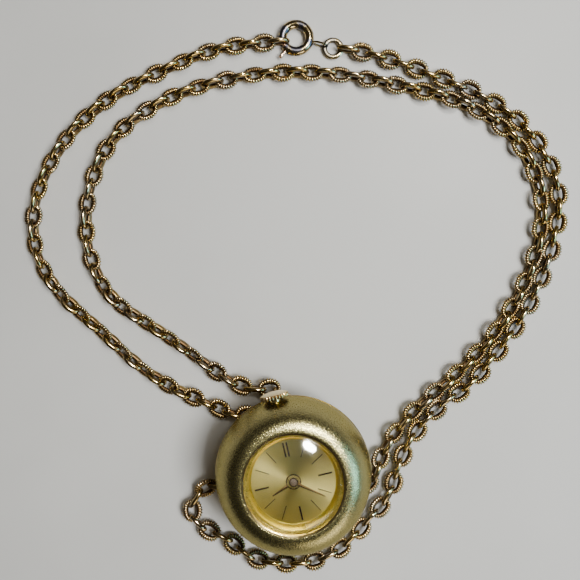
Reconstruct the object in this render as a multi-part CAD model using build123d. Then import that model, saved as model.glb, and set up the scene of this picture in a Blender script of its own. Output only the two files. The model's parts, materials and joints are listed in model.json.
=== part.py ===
"""Ball-shaped pendant watch lying on its back, with its cable chain laid out round it.

Millimetres. The origin is the middle of the flat back, +Z runs up out of the dial and +Y points
to twelve o'clock, where the crown is. The case is two turned shells that snap together at the
widest line. The hand-wound movement hangs in a ring between them. The chain is real links, each
hooked through the next, and runs from the ring under the crown to both ends of the clasp.
Round pieces are turned with sides, so that the whole watch stays light.
"""

import os
from math import atan2, cos, hypot, pi, radians, sin

from build123d import *

# Case
CASE_R = 14.25
SEAM_Z = 8.0
CREST_R = 9.3
CREST_RISE = 8.8
WALL = 0.75
APERTURE_R = 8.6
APERTURE_DROP = 0.3
COLLAR_WALL = 0.9
FLANGE_STEP = 0.1
FLANGE_T = 0.35
SPIGOT_H = 1.0
SPIGOT_WALL = 0.65
BACK_R = 8.4
BACK_FOOT_STEP = 0.4
BACK_FOOT_H = 1.5
CHAIN_ARCH_INSET = 4.05
CHAIN_ARCH_Z = 3.9
BELLY_INSET = 0.85
BELLY_Z = 6.3
FIT = 0.05
SAME_PLACE = 1e-9
RIM_SIDES = 28
DOME_STEPS = 5
LINER_SHARES = (0.33, 0.66)

# Crystal, dial ring and dial
CRYSTAL_RISE = 1.75
CRYSTAL_RIM_H = 0.75
CRYSTAL_T = 0.9
CRYSTAL_SEAT = 0.5
CRYSTAL_SHARES = (1.0, 0.72, 0.36)
DIAL_DEPTH = 2.8
DIAL_RING_H = 1.65
DIAL_RING_W = 1.15
DIAL_RING_LIP = 0.15
DIAL_T = 0.3
DIAL_HOLE_R = 0.95
FOOT_R = 0.3
FOOT_REACH = 5.6
FOOT_L = 0.9
MARK_T = 0.06
MARK_W = 0.12
BOLD_MARK_W = 0.28
MARK_INNER_SHARE = 0.6
MARK_OUTER_SHARE = 0.94
TWIN_MARK_GAP = 0.3

# Hands
HAND_T = 0.15
HAND_GAP = 0.2
HOUR_L = 4.4
HOUR_W = 0.62
MINUTE_L = 6.1
MINUTE_W = 0.6
HAND_TIP_SHARE = 0.35
HOUR_BOSS_R = 1.3
MINUTE_BOSS_R = 0.8
HUB_SIDES = 12
WHEEL_SIDES = 18
HOUR_TURN = 201.0
MINUTE_TURN = -37.0

# Movement
PLATE_R = 8.0
PLATE_T = 1.4
MOTION_R = 5.0
MOTION_DEPTH = 0.55
TRAIN_SPACE = 1.8
THIRD_WHEEL_SHARE = 0.3
FOURTH_WHEEL_SHARE = 0.55
ESCAPE_WHEEL_SHARE = 0.2
BALANCE_SHARE = 0.42
BRIDGE_T = 0.9
POST_R = 0.7
RING_T = 0.9
SKIRT_W = 0.55
DRIVE_T = 0.35
DRIVE_GAP = 0.1
PIVOT_R = 0.2
MESH_GAP = 0.05
WHEEL_T = 0.16
JEWEL_R = 0.55
JEWEL_T = 0.25
SCREW_HEAD_R = 0.55
SCREW_HEAD_H = 0.35
SCREW_R = 0.3
SCREW_SIDES = 6
CASE_SCREW_TURN = -5.0

BARREL_R = 3.35
BARREL_TURN = 158.0
BARREL_RATIO = 6.0
BARREL_H = 1.3
BARREL_WALL = 0.3
MAINSPRING_T = 0.3
MAINSPRING_TURNS = 2.5
MAINSPRING_STEPS = 8
CENTRE_R = 2.7
THIRD_R = 2.2
THIRD_TURN = 25.0
THIRD_RATIO = 8.0
FOURTH_R = 1.9
FOURTH_TURN = -77.0
FOURTH_RATIO = 7.5
ESCAPE_R = 1.25
ESCAPE_TURN = -121.0
ESCAPE_RATIO = 10.0
ESCAPE_TEETH = 15
PALLET_AT = (0.75, -4.35)
PALLET_ARM = 0.75
PALLET_TAIL = 1.0
BALANCE_AT = (-2.2, -4.25)
BALANCE_R = 2.3
BALANCE_RIM = 0.4
HAIRSPRING_R = 1.5
HAIRSPRING_T = 0.12
HAIRSPRING_TURNS = 2.5
HAIRSPRING_STEPS = 8
CROWN_WHEEL_R = 1.85
CROWN_WHEEL_TURN = 60.4
CROWN_WHEEL_TEETH = 16
RATCHET_R = 2.45
RATCHET_TEETH = 20
DRIVE_TOOTH = 0.25

# Motion work on the dial side
CANNON_R = 0.5
CANNON_SIDES = 8
MINUTE_WHEEL_R = 1.5
HOUR_RATIO = 4.0
HOUR_PIPE_R = 0.75
SETTING_WHEEL_R = 0.55

# Crown, stem and keyless work
STEM_DEPTH = 1.6
STEM_R = 0.45
STEM_PIVOT_R = 0.22
CROWN_R = 2.6
CROWN_T = 1.3
CROWN_GAP = 0.2
FLUTE_COUNT = 26
FLUTE_DEPTH = 0.16
CROWN_BORE_R = 1.05
CROWN_BORE_DEPTH = 0.7
TUBE_R = 0.95
TUBE_BORE_R = 0.6
TUBE_SIDES = 10
CROWN_PULL = 0.8
PINION_R = 1.1
PINION_L = 1.2
PINION_Y = 5.9
PINION_TEETH = 10
CLUTCH_R = 0.9
CLUTCH_L = 1.3
CLUTCH_Y = 4.3
CLUTCH_GROOVE_R = 0.55
CLUTCH_GROOVE_W = 0.5
CLUTCH_TRAVEL = 0.6
STEM_GROOVE_Y = 7.6
STEM_GROOVE_W = 0.5
STEM_GROOVE_R = 0.3
STEM_END_Y = 3.2
LEVER_T = 0.3
LEVER_AT = (1.9, 7.0)
LEVER_PIN_R = 0.1
YOKE_AT = (2.8, 4.4)
YOKE_NOSE = 0.65
CLICK_AT = (-5.6, -1.6)
CLICK_L = 0.8
CLICK_W = 0.5
CLICK_SPRING_AT = (-7.1, -1.2)
CLICK_SPRING_T = 0.12
CLICK_SPRING_GAP = 0.25

# Bow and ring under the crown
BOW_INSET = 0.9
BOW_WIRE = 0.5
BOW_SINK = 0.35
BAIL_RING_R = 2.85
BAIL_RING_WIRE = 0.65
BAIL_RING_SIDES = 14

# Chain links: barrel outline with a straight slot
LINK_L = 4.3
LINK_W = 3.2
LINK_END_W = 2.2
LINK_WIRE = 0.7
LINK_T = 0.7
LINK_SLOT_W = 1.65
LINK_PLAY = 0.15
LINK_PITCH = LINK_L - 2 * LINK_WIRE - LINK_PLAY
LINK_Z = 1.68
FOLD_Z = 2.3
FACE_TURN = 20.0
RUN_IN_COUNT = 6

# Clasp and the ring beside it
CLASP_AT = (19.56, 79.87)
CLASP_Z = 1.3
CLASP_R = 2.6
CLASP_TUBE_R = 0.85
CLASP_BORE_R = 0.5
CLASP_BOLT_R = 0.35
CLASP_SIDES = 6
CLASP_STEP_TURN = 20.0
CLASP_GAP_START_TURN = 172.0
CLASP_GAP_TURN = 34.0
CLASP_OVERLAP_TURN = 12.0
CLASP_TRAVEL_TURN = 42.0
KNOB_TURN = 218.0
KNOB_ROOM_TURN = 8.0
KNOB_R = 0.32
KNOB_H = 1.5
SPRING_TURN = 60.0
SPRING_ROOM_TURN = 2.0
CLASP_BAIL_TURN = -27.7
CLASP_BAIL_WIRE = 0.4
CLASP_BAIL_L = 3.1
CLASP_BAIL_H = 2.4
END_RING_AT = (26.12, 76.42)
END_RING_R = 2.1
END_RING_WIRE = 0.55

# Chain routes on the table, from the ring under the crown
SHORT_ROUTE = (
    (0.3, 11.3, FOLD_Z),
    (-4.6, 11.2, FOLD_Z),
    (-9.0, 11.9, LINK_Z),
    (-13.4, 15.6, LINK_Z),
    (-18.6, 19.2, LINK_Z),
    (-24.6, 25.4, LINK_Z),
    (-30.0, 33.9, LINK_Z),
    (-36.5, 42.5, LINK_Z),
    (-39.5, 52.0, LINK_Z),
    (-36.5, 62.0, LINK_Z),
    (-28.5, 71.3, LINK_Z),
    (-18.0, 77.2, LINK_Z),
    (-7.0, 79.6, LINK_Z),
    (3.0, 81.4, LINK_Z),
    (11.0, 80.7, LINK_Z),
    (17.4, 79.62, LINK_Z),
)
LONG_ROUTE = (
    (0.34, 15.35, FOLD_Z),
    (-4.6, 15.6, FOLD_Z),
    (-9.8, 20.2, LINK_Z),
    (-15.8, 27.6, LINK_Z),
    (-21.8, 33.8, LINK_Z),
    (-27.2, 39.6, LINK_Z),
    (-29.2, 49.5, LINK_Z),
    (-26.4, 60.5, LINK_Z),
    (-19.6, 69.6, LINK_Z),
    (-8.5, 74.2, LINK_Z),
    (3.5, 75.3, LINK_Z),
    (15.5, 74.2, LINK_Z),
    (26.8, 70.9, LINK_Z),
    (37.3, 66.0, LINK_Z),
    (47.2, 61.0, LINK_Z),
    (55.4, 53.2, LINK_Z),
    (58.7, 44.0, LINK_Z),
    (57.8, 34.4, LINK_Z),
    (52.3, 24.4, LINK_Z),
    (43.6, 15.5, LINK_Z),
    (34.0, 9.3, LINK_Z),
    (25.6, 5.4, LINK_Z),
    (17.8, -0.3, LINK_Z),
    (14.4, -6.6, LINK_Z),
    (8.9, -9.3, LINK_Z),
    (4.2, -12.0, LINK_Z),
    (-1.4, -12.8, LINK_Z),
    (-7.0, -10.8, LINK_Z),
    (-11.3, -7.0, LINK_Z),
    (-12.0, -4.0, LINK_Z),
    (-12.5, -1.3, LINK_Z),
    (-14.7, 0.3, LINK_Z),
    (-17.9, -0.2, LINK_Z),
    (-20.9, -2.4, LINK_Z),
    (-21.3, -5.8, LINK_Z),
    (-18.7, -8.6, LINK_Z),
    (-14.6, -11.4, LINK_Z),
    (-12.6, -15.4, LINK_Z),
    (-6.6, -17.8, LINK_Z),
    (-0.4, -19.6, LINK_Z),
    (6.4, -17.4, LINK_Z),
    (11.6, -13.4, LINK_Z),
    (16.9, -10.2, LINK_Z),
    (20.8, -4.9, LINK_Z),
    (26.4, 1.1, LINK_Z),
    (32.6, 4.3, LINK_Z),
    (37.6, 5.8, LINK_Z),
    (45.2, 12.3, LINK_Z),
    (51.4, 17.5, LINK_Z),
    (57.7, 26.0, LINK_Z),
    (62.3, 35.4, LINK_Z),
    (62.8, 43.5, LINK_Z),
    (59.4, 52.9, LINK_Z),
    (52.4, 61.5, LINK_Z),
    (43.0, 68.0, LINK_Z),
    (33.4, 73.4, LINK_Z),
    (27.55, 75.83, LINK_Z),
)

# Heights and radii that follow from the sizes above
CREST_Z = SEAM_Z + CREST_RISE
CHAIN_ARCH_R = CASE_R - CHAIN_ARCH_INSET
BELLY_R = CASE_R - BELLY_INSET
BOW_Y = CASE_R - BOW_INSET
DIAL_VIEW_R = APERTURE_R - FIT - DIAL_RING_W
APERTURE_Z = CREST_Z - APERTURE_DROP
DIAL_Z = APERTURE_Z - DIAL_DEPTH
PLATE_TOP = DIAL_Z - DIAL_T
PLATE_BOTTOM = PLATE_TOP - PLATE_T
STEM_Z = PLATE_BOTTOM - STEM_DEPTH
MOTION_Z = PLATE_TOP - MOTION_DEPTH
BRIDGE_TOP = PLATE_BOTTOM - TRAIN_SPACE
BRIDGE_BOTTOM = BRIDGE_TOP - BRIDGE_T
DRIVE_TOP = BRIDGE_BOTTOM - DRIVE_GAP
DRIVE_BOTTOM = DRIVE_TOP - DRIVE_T
SPIGOT_R = CASE_R - WALL - FIT
SPIGOT_TOP = SEAM_Z + SPIGOT_H
CROWN_Y = CASE_R + FLANGE_STEP + CROWN_GAP - FIT


def meshed(at, radius, next_radius, turn):
    """Place of a wheel that runs clear of another by the mesh gap, in a direction from it."""
    reach = radius + next_radius + MESH_GAP
    return (at[0] + reach * cos(radians(turn)), at[1] + reach * sin(radians(turn)))


# Pinions and places of the going train, the winding work and the motion work
MIDDLE = (0, 0)
CENTRE_PINION_R = BARREL_R / BARREL_RATIO
THIRD_PINION_R = CENTRE_R / THIRD_RATIO
FOURTH_PINION_R = THIRD_R / FOURTH_RATIO
ESCAPE_PINION_R = FOURTH_R / ESCAPE_RATIO
MINUTE_PINION_R = (CANNON_R + MINUTE_WHEEL_R) / (1 + HOUR_RATIO)
HOUR_WHEEL_R = MINUTE_PINION_R * HOUR_RATIO
BARREL_AT = meshed(MIDDLE, CENTRE_PINION_R, BARREL_R, BARREL_TURN)
THIRD_AT = meshed(MIDDLE, CENTRE_R, THIRD_PINION_R, THIRD_TURN)
FOURTH_AT = meshed(THIRD_AT, THIRD_R, FOURTH_PINION_R, FOURTH_TURN)
ESCAPE_AT = meshed(FOURTH_AT, FOURTH_R, ESCAPE_PINION_R, ESCAPE_TURN)
CROWN_WHEEL_AT = meshed(BARREL_AT, RATCHET_R, CROWN_WHEEL_R, CROWN_WHEEL_TURN)
MINUTE_WHEEL_AT = meshed(MIDDLE, CANNON_R, MINUTE_WHEEL_R, 90.0)
SETTING_WHEEL_AT = meshed(MINUTE_WHEEL_AT, MINUTE_WHEEL_R, SETTING_WHEEL_R, 90.0)


def turned(profile, sides, start=0.0, turn=360.0):
    """Solid turned about Z with flat sides, from a closed profile of (radius, height) points."""
    steps = max(1, round(sides * turn / 360.0))
    angles = [radians(start + turn * i / steps) for i in range(steps + 1)]

    def at(point, angle):
        return Vector(point[0] * cos(angle), point[0] * sin(angle), point[1])

    def face(corners):
        kept = [c for i, c in enumerate(corners) if (c - corners[i - 1]).length > SAME_PLACE]
        return Face(Wire.make_polygon(kept, close=True))

    faces = []
    for p, q in zip(profile, profile[1:] + profile[:1]):
        if p[0] > 0 or q[0] > 0:
            for a, b in zip(angles, angles[1:]):
                faces.append(face([at(p, a), at(q, a), at(q, b), at(p, b)]))
    if turn < 360.0:
        for angle in (angles[0], angles[-1]):
            faces.append(face([at(p, angle) for p in profile]))
    return Solid(Shell(faces))


def slab(points, bottom, top):
    """Flat piece with the outline of the points, between two heights."""
    outline = make_face(Polyline(*points, close=True))
    return Pos(Z=bottom) * extrude(outline, top - bottom)


def ring_points(radius, count, at=(0, 0), turn=0.0):
    """Corners of a regular polygon."""
    angles = [radians(turn) + 2 * pi * i / count for i in range(count)]
    return [(at[0] + radius * cos(a), at[1] + radius * sin(a)) for a in angles]


def post(radius, bottom, top, at=(0, 0), sides=SCREW_SIDES):
    """Upright round piece with flat sides."""
    return slab(ring_points(radius, sides, at), bottom, top)


def toothed(radius, teeth, depth, bottom, top, at=(0, 0)):
    """Wheel with pointed teeth."""
    points = []
    for i in range(teeth):
        for reach, half in ((radius, 0), (radius - depth, 1)):
            angle = pi * (2 * i + half) / teeth
            points.append((at[0] + reach * cos(angle), at[1] + reach * sin(angle)))
    return slab(points, bottom, top)


def bar(start, end, start_width, end_width, bottom, top):
    """Tapered flat arm from one place to another."""
    length = hypot(end[0] - start[0], end[1] - start[1])
    across = ((start[1] - end[1]) / length, (end[0] - start[0]) / length)
    sides = []
    for place, width, side in (
        (start, start_width, 1),
        (end, end_width, 1),
        (end, end_width, -1),
        (start, start_width, -1),
    ):
        reach = side * width / 2
        sides.append((place[0] + across[0] * reach, place[1] + across[1] * reach))
    return slab(sides, bottom, top)


def on_stem(profile, sides):
    """Piece turned about the winding stem, from (radius, distance from the middle) points."""
    return Pos(Z=STEM_Z) * (Rot(X=-90) * turned(profile, sides))


def dome_point(inset, share):
    """Point of the front shell's rounded side, inset from the outside; share 0 is the seam."""
    angle = share * pi / 2
    return (
        CREST_R + (CASE_R - inset - CREST_R) * cos(angle),
        SEAM_Z + (CREST_RISE - inset) * sin(angle),
    )


def liner():
    """Inside of the front shell, as (radius, height) points from the seam upwards."""
    straight = [(CASE_R - WALL, SEAM_Z), (CASE_R - WALL, SPIGOT_TOP)]
    return straight + [dome_point(WALL, share) for share in LINER_SHARES]


def inner_radius(height):
    """Radius of the front shell's inside at a height, measured to the corners of its flats."""
    for low, high in zip(liner(), liner()[1:]):
        if low[1] <= height <= high[1]:
            share = (height - low[1]) / (high[1] - low[1])
            return low[0] + share * (high[0] - low[0])
    return APERTURE_R


def front_shell():
    """Domed front of the case, with the collar that holds the crystal and the dial ring."""
    outside = [dome_point(0, i / DOME_STEPS) for i in range(DOME_STEPS + 1)]
    collar_r = APERTURE_R + COLLAR_WALL
    profile = outside + [
        (APERTURE_R, APERTURE_Z),
        (APERTURE_R, PLATE_TOP),
        (collar_r, PLATE_TOP),
        (collar_r, liner()[-1][1]),
    ]
    shell = turned(profile + liner()[::-1], RIM_SIDES)
    hole = on_stem([(0, 0), (TUBE_R, 0), (TUBE_R, 2 * CASE_R), (0, 2 * CASE_R)], TUBE_SIDES)
    return shell - hole


def back_shell():
    """Bowl of the case, with its flat back, the arch that clears the chain and the snap spigot."""
    foot_r = BACK_R + BACK_FOOT_STEP
    flange_r = CASE_R + FLANGE_STEP
    spigot_in = SPIGOT_R - SPIGOT_WALL
    return turned(
        [
            (0, 0),
            (BACK_R, 0),
            (foot_r, BACK_FOOT_H),
            (CHAIN_ARCH_R, CHAIN_ARCH_Z),
            (BELLY_R, BELLY_Z),
            (flange_r, SEAM_Z - FLANGE_T),
            (flange_r, SEAM_Z),
            (SPIGOT_R, SEAM_Z),
            (SPIGOT_R, SPIGOT_TOP),
            (spigot_in, SPIGOT_TOP),
            (spigot_in, BELLY_Z + WALL),
            (CHAIN_ARCH_R - WALL, CHAIN_ARCH_Z + WALL),
            (BACK_R - WALL, BACK_FOOT_H),
            (BACK_R - WALL, WALL),
            (0, WALL),
        ],
        RIM_SIDES,
    )


def crystal():
    """Domed acrylic crystal that stands on the dial ring inside the aperture."""
    radius = APERTURE_R - FIT
    foot = DIAL_Z + DIAL_RING_H
    shoulder = foot + CRYSTAL_RIM_H
    inner_r = radius - CRYSTAL_T
    outside = [(radius * s, shoulder + CRYSTAL_RISE * (1 - s * s)) for s in CRYSTAL_SHARES]
    hollow = shoulder - CRYSTAL_T / 2
    inside = [(inner_r * s, hollow + CRYSTAL_RISE * (1 - s * s)) for s in CRYSTAL_SHARES]
    tops = [(0, shoulder + CRYSTAL_RISE), (0, hollow + CRYSTAL_RISE)]
    return turned([(inner_r, foot), (radius, foot)] + outside + tops + inside[::-1], RIM_SIDES)


def dial_ring():
    """Polished ring between the crystal and the dial."""
    radius = APERTURE_R - FIT
    top = DIAL_Z + DIAL_RING_H
    return turned(
        [
            (DIAL_VIEW_R, DIAL_Z),
            (radius, DIAL_Z),
            (radius, top),
            (radius - CRYSTAL_SEAT, top),
            (DIAL_VIEW_R, DIAL_Z + DIAL_RING_LIP),
        ],
        RIM_SIDES,
    )


def dial():
    """Dial plate with its centre hole and two feet that enter the main plate."""
    radius = APERTURE_R - FIT
    disc = slab(ring_points(radius, RIM_SIDES), PLATE_TOP, DIAL_Z)
    disc -= post(DIAL_HOLE_R, PLATE_TOP, DIAL_Z, sides=HUB_SIDES)
    for at in foot_places():
        disc += post(FOOT_R, PLATE_TOP - FOOT_L, PLATE_TOP, at)
    return disc


def foot_places():
    """Where the dial's feet stand: on a slanted line through the middle."""
    return ring_points(FOOT_REACH, 2, turn=-40.0)


def hour_markers():
    """Applied hour lines: bold at three, six and nine, a pair at twelve, thin between."""
    marks = []
    inner = DIAL_VIEW_R * MARK_INNER_SHARE
    outer = DIAL_VIEW_R * MARK_OUTER_SHARE
    for hour in range(12):
        width = MARK_W if hour % 3 else BOLD_MARK_W
        shifts = (0,) if hour else (-TWIN_MARK_GAP, TWIN_MARK_GAP)
        for shift in shifts:
            line = bar((shift, inner), (shift, outer), width, width, DIAL_Z, DIAL_Z + MARK_T)
            marks.append(Rot(Z=-30 * hour) * line)
    return Compound(marks)


def hand(length, width, boss_r, bore_r, bottom):
    """Tapered hand lying towards +X, with its round boss."""
    top = bottom + HAND_T
    piece = bar((0, 0), (length, 0), width, width * HAND_TIP_SHARE, bottom, top)
    piece += post(boss_r, bottom, top, sides=HUB_SIDES)
    if bore_r:
        piece -= post(bore_r, bottom, top, sides=HUB_SIDES)
    return piece


HOUR_HAND_Z = DIAL_Z + MARK_T + HAND_GAP
MINUTE_HAND_Z = HOUR_HAND_Z + HAND_T + HAND_GAP


def hour_hand():
    """Hour hand, pressed on the hour wheel's pipe."""
    return Rot(Z=HOUR_TURN) * hand(HOUR_L, HOUR_W, HOUR_BOSS_R, HOUR_PIPE_R, HOUR_HAND_Z)


def minute_hand():
    """Minute hand with its cap, pressed on the cannon pinion."""
    piece = hand(MINUTE_L, MINUTE_W, MINUTE_BOSS_R, 0, MINUTE_HAND_Z)
    cap_top = MINUTE_HAND_Z + HAND_T + HAND_GAP
    piece += post(MINUTE_BOSS_R / 2, MINUTE_HAND_Z + HAND_T, cap_top, sides=HUB_SIDES)
    return Rot(Z=MINUTE_TURN) * piece


def movement_ring():
    """Brass ring that carries the movement in the front shell, with a skirt down to the spigot."""
    top = PLATE_BOTTOM + RING_T
    outer = inner_radius(top) - FIT
    skirt_in = outer - SKIRT_W
    ring = turned(
        [
            (PLATE_R + FIT, PLATE_BOTTOM),
            (skirt_in, PLATE_BOTTOM),
            (skirt_in, SPIGOT_TOP + FIT),
            (outer, SPIGOT_TOP + FIT),
            (outer, top),
            (PLATE_R + FIT, top),
        ],
        RIM_SIDES,
    )
    slot = Box(2 * TUBE_R, CASE_R, 2 * TUBE_R, align=(Align.CENTER, Align.MIN, Align.CENTER))
    ring -= Pos(Z=STEM_Z) * slot
    for at in case_screw_places():
        ring -= post(SCREW_R, PLATE_BOTTOM, PLATE_BOTTOM + RING_T, at)
    return ring


def case_screw_places():
    """The two screws that clamp the main plate's edge to the ring."""
    return ring_points(PLATE_R + SCREW_HEAD_R, 2, turn=CASE_SCREW_TURN)


def case_screws():
    """Screws whose heads overlap the main plate's edge from behind."""
    screws = []
    for at in case_screw_places():
        head = post(2 * SCREW_HEAD_R, PLATE_BOTTOM - SCREW_HEAD_H, PLATE_BOTTOM, at)
        screws.append(head + post(SCREW_R, PLATE_BOTTOM, PLATE_BOTTOM + RING_T, at))
    return Compound(screws)


def main_plate():
    """Main plate with the recess of the motion work, its centre hole and the holes of the feet."""
    plate = slab(ring_points(PLATE_R, RIM_SIDES), PLATE_BOTTOM, PLATE_TOP)
    plate -= post(MOTION_R, MOTION_Z, PLATE_TOP, sides=HUB_SIDES)
    plate -= post(CENTRE_PINION_R, PLATE_BOTTOM, MOTION_Z)
    for at in foot_places():
        plate -= post(FOOT_R, PLATE_TOP - FOOT_L, PLATE_TOP, at)
    return plate


def bridge(outline, posts):
    """Bridge plate with round feet that stand on the main plate."""
    plate = slab(outline, BRIDGE_BOTTOM, BRIDGE_TOP)
    for at in posts:
        plate += post(POST_R, BRIDGE_TOP, PLATE_BOTTOM, at)
    return plate


BARREL_POSTS = ((-5.3, -2.6), (-4.0, 5.9))
BARREL_BRIDGE_LINE = (
    (-1.2, 7.4),
    (-1.2, 5.9),
    (-1.0, 3.3),
    (0.9, 1.6),
    (0.9, -1.2),
    (-4.4, -3.4),
    (-6.3, -3.4),
    (-7.6, -0.5),
    (-7.4, 2.2),
    (-5.2, 5.6),
    (-3.6, 7.0),
)
TRAIN_POSTS = ((6.6, 2.6), (5.4, -4.6))
TRAIN_BRIDGE_LINE = (
    (1.2, 2.4),
    (3.6, 3.4),
    (6.6, 3.5),
    (7.5, 1.4),
    (7.2, -3.0),
    (5.8, -5.4),
    (0.9, -5.2),
    (0.1, -4.6),
    (1.2, -1.4),
)
COCK_POST = (-5.9, -4.1)
COCK_WIDTHS = (1.2, 1.1)


def barrel_bridge():
    """Bridge over the spring barrel, cut away beside the winding stem."""
    piece = bridge(BARREL_BRIDGE_LINE, BARREL_POSTS)
    piece -= post(PIVOT_R + FIT, BRIDGE_BOTTOM, BRIDGE_TOP, BARREL_AT)
    return piece


def train_bridge():
    """Bridge over the going train."""
    return bridge(TRAIN_BRIDGE_LINE, TRAIN_POSTS)


def balance_cock():
    """Single-footed cock that reaches over the balance."""
    tip = (BALANCE_AT[0] + JEWEL_R, BALANCE_AT[1])
    arm = bar(COCK_POST, tip, *COCK_WIDTHS, BRIDGE_BOTTOM, BRIDGE_BOTTOM + BRIDGE_T / 2)
    return arm + post(POST_R, BRIDGE_BOTTOM + BRIDGE_T / 2, PLATE_BOTTOM, COCK_POST)


def barrel():
    """Toothed spring barrel, open inside for the mainspring."""
    bottom = BRIDGE_TOP + MESH_GAP
    top = bottom + BARREL_H
    drum = post(BARREL_R, bottom, top, BARREL_AT, WHEEL_SIDES)
    drum -= post(BARREL_R - BARREL_WALL, bottom + BARREL_WALL, top - BARREL_WALL, BARREL_AT, HUB_SIDES)
    return drum - post(PIVOT_R + FIT, bottom, top, BARREL_AT)


def spiral(at, inner, outer, turns, steps, thickness, bottom, top):
    """Flat spiral strip wound from the inner radius to the outer one."""
    count = turns * steps
    middle = [
        (inner + (outer - inner) * i / count, 2 * pi * i / steps) for i in range(int(count) + 1)
    ]
    sides = []
    for shift in (-thickness / 2, thickness / 2):
        sides.append([(at[0] + (r + shift) * cos(a), at[1] + (r + shift) * sin(a)) for r, a in middle])
    return slab(sides[0] + sides[1][::-1], bottom, top)


def mainspring():
    """Coiled mainspring in the barrel."""
    bottom = BRIDGE_TOP + MESH_GAP + BARREL_WALL + FIT
    top = BRIDGE_TOP + MESH_GAP + BARREL_H - BARREL_WALL - FIT
    inner = PIVOT_R + MAINSPRING_T
    outer = (BARREL_R - BARREL_WALL) * cos(pi / HUB_SIDES) - MAINSPRING_T
    return spiral(
        BARREL_AT, inner, outer, MAINSPRING_TURNS, MAINSPRING_STEPS, MAINSPRING_T, bottom, top
    )


def barrel_arbor():
    """Arbor through the barrel, carrying the ratchet wheel."""
    return post(PIVOT_R, DRIVE_TOP, PLATE_BOTTOM - FIT, BARREL_AT)


def ratchet_wheel():
    """Ratchet wheel that winds the mainspring."""
    return toothed(RATCHET_R, RATCHET_TEETH, DRIVE_TOOTH, DRIVE_BOTTOM, DRIVE_TOP, BARREL_AT)


def crown_wheel():
    """Crown wheel between the winding pinion and the ratchet wheel."""
    return toothed(
        CROWN_WHEEL_R, CROWN_WHEEL_TEETH, DRIVE_TOOTH, DRIVE_BOTTOM, DRIVE_TOP, CROWN_WHEEL_AT
    )


def click():
    """Click that holds the ratchet wheel, on its stud."""
    reach = hypot(BARREL_AT[0] - CLICK_AT[0], BARREL_AT[1] - CLICK_AT[1])
    aim = CLICK_L / reach
    tip = (
        CLICK_AT[0] + (BARREL_AT[0] - CLICK_AT[0]) * aim,
        CLICK_AT[1] + (BARREL_AT[1] - CLICK_AT[1]) * aim,
    )
    arm = bar(CLICK_AT, tip, CLICK_W, CLICK_W / 2, DRIVE_BOTTOM, DRIVE_TOP)
    return arm + post(CLICK_W / 2, DRIVE_BOTTOM, BRIDGE_BOTTOM, CLICK_AT)


def click_spring():
    """Straight wire spring that presses the click."""
    reach = CLICK_W / 2 + CLICK_SPRING_GAP
    tip = (CLICK_AT[0] - reach, CLICK_AT[1] + reach)
    wire = bar(CLICK_SPRING_AT, tip, CLICK_SPRING_T, CLICK_SPRING_T, DRIVE_BOTTOM, DRIVE_TOP)
    return wire + post(CLICK_W / 2, DRIVE_BOTTOM, BRIDGE_BOTTOM, CLICK_SPRING_AT)


def train_wheel(at, wheel_r, pinion_r, wheel_z, pinion_z):
    """Wheel, pinion and arbor of the going train in one piece."""
    piece = post(wheel_r, wheel_z, wheel_z + WHEEL_T, at, HUB_SIDES)
    piece += post(pinion_r, min(pinion_z), max(pinion_z), at)
    return piece + post(PIVOT_R, *ARBOR_SPAN, at)


ARBOR_SPAN = (BRIDGE_TOP + FIT, PLATE_BOTTOM - FIT)
CENTRE_WHEEL_Z = PLATE_BOTTOM - FIT - WHEEL_T
THIRD_WHEEL_Z = BRIDGE_TOP + TRAIN_SPACE * THIRD_WHEEL_SHARE
FOURTH_WHEEL_Z = BRIDGE_TOP + TRAIN_SPACE * FOURTH_WHEEL_SHARE
ESCAPE_WHEEL_Z = BRIDGE_TOP + TRAIN_SPACE * ESCAPE_WHEEL_SHARE
BALANCE_Z = BRIDGE_TOP + TRAIN_SPACE * BALANCE_SHARE


def centre_wheel():
    """Centre wheel, whose arbor carries the cannon pinion."""
    piece = post(CENTRE_R, CENTRE_WHEEL_Z, CENTRE_WHEEL_Z + WHEEL_T, sides=WHEEL_SIDES)
    piece += post(CENTRE_PINION_R, BRIDGE_TOP + FIT, CENTRE_WHEEL_Z)
    return piece + post(PIVOT_R, CENTRE_WHEEL_Z, MINUTE_HAND_Z - HAND_GAP)


def cannon_pinion():
    """Cannon pinion on the centre arbor, up through the dial to the minute hand."""
    pipe = post(CANNON_R - FIT, MOTION_Z + FIT, MINUTE_HAND_Z, sides=CANNON_SIDES)
    return pipe - post(PIVOT_R + FIT, MOTION_Z + FIT, MINUTE_HAND_Z - HAND_GAP, sides=CANNON_SIDES)


def minute_wheel():
    """Minute wheel and its pinion, which drives the hour wheel."""
    bottom = MOTION_Z + FIT
    piece = post(MINUTE_WHEEL_R, bottom, bottom + WHEEL_T, MINUTE_WHEEL_AT, HUB_SIDES)
    return piece + post(MINUTE_PINION_R, bottom, PLATE_TOP - FIT, MINUTE_WHEEL_AT)


def hour_wheel():
    """Hour wheel with the pipe that carries the hour hand."""
    bottom = PLATE_TOP - FIT - WHEEL_T
    bore = CANNON_R + FIT / 2
    return turned(
        [
            (bore, bottom),
            (HOUR_WHEEL_R, bottom),
            (HOUR_WHEEL_R, bottom + WHEEL_T),
            (HOUR_PIPE_R, bottom + WHEEL_T),
            (HOUR_PIPE_R, HOUR_HAND_Z + HAND_T),
            (bore, HOUR_HAND_Z + HAND_T),
        ],
        HUB_SIDES,
    )


def setting_wheel():
    """Setting wheel between the clutch and the minute wheel."""
    bottom = MOTION_Z + FIT
    return post(SETTING_WHEEL_R, bottom, bottom + WHEEL_T, SETTING_WHEEL_AT, CANNON_SIDES)


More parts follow.
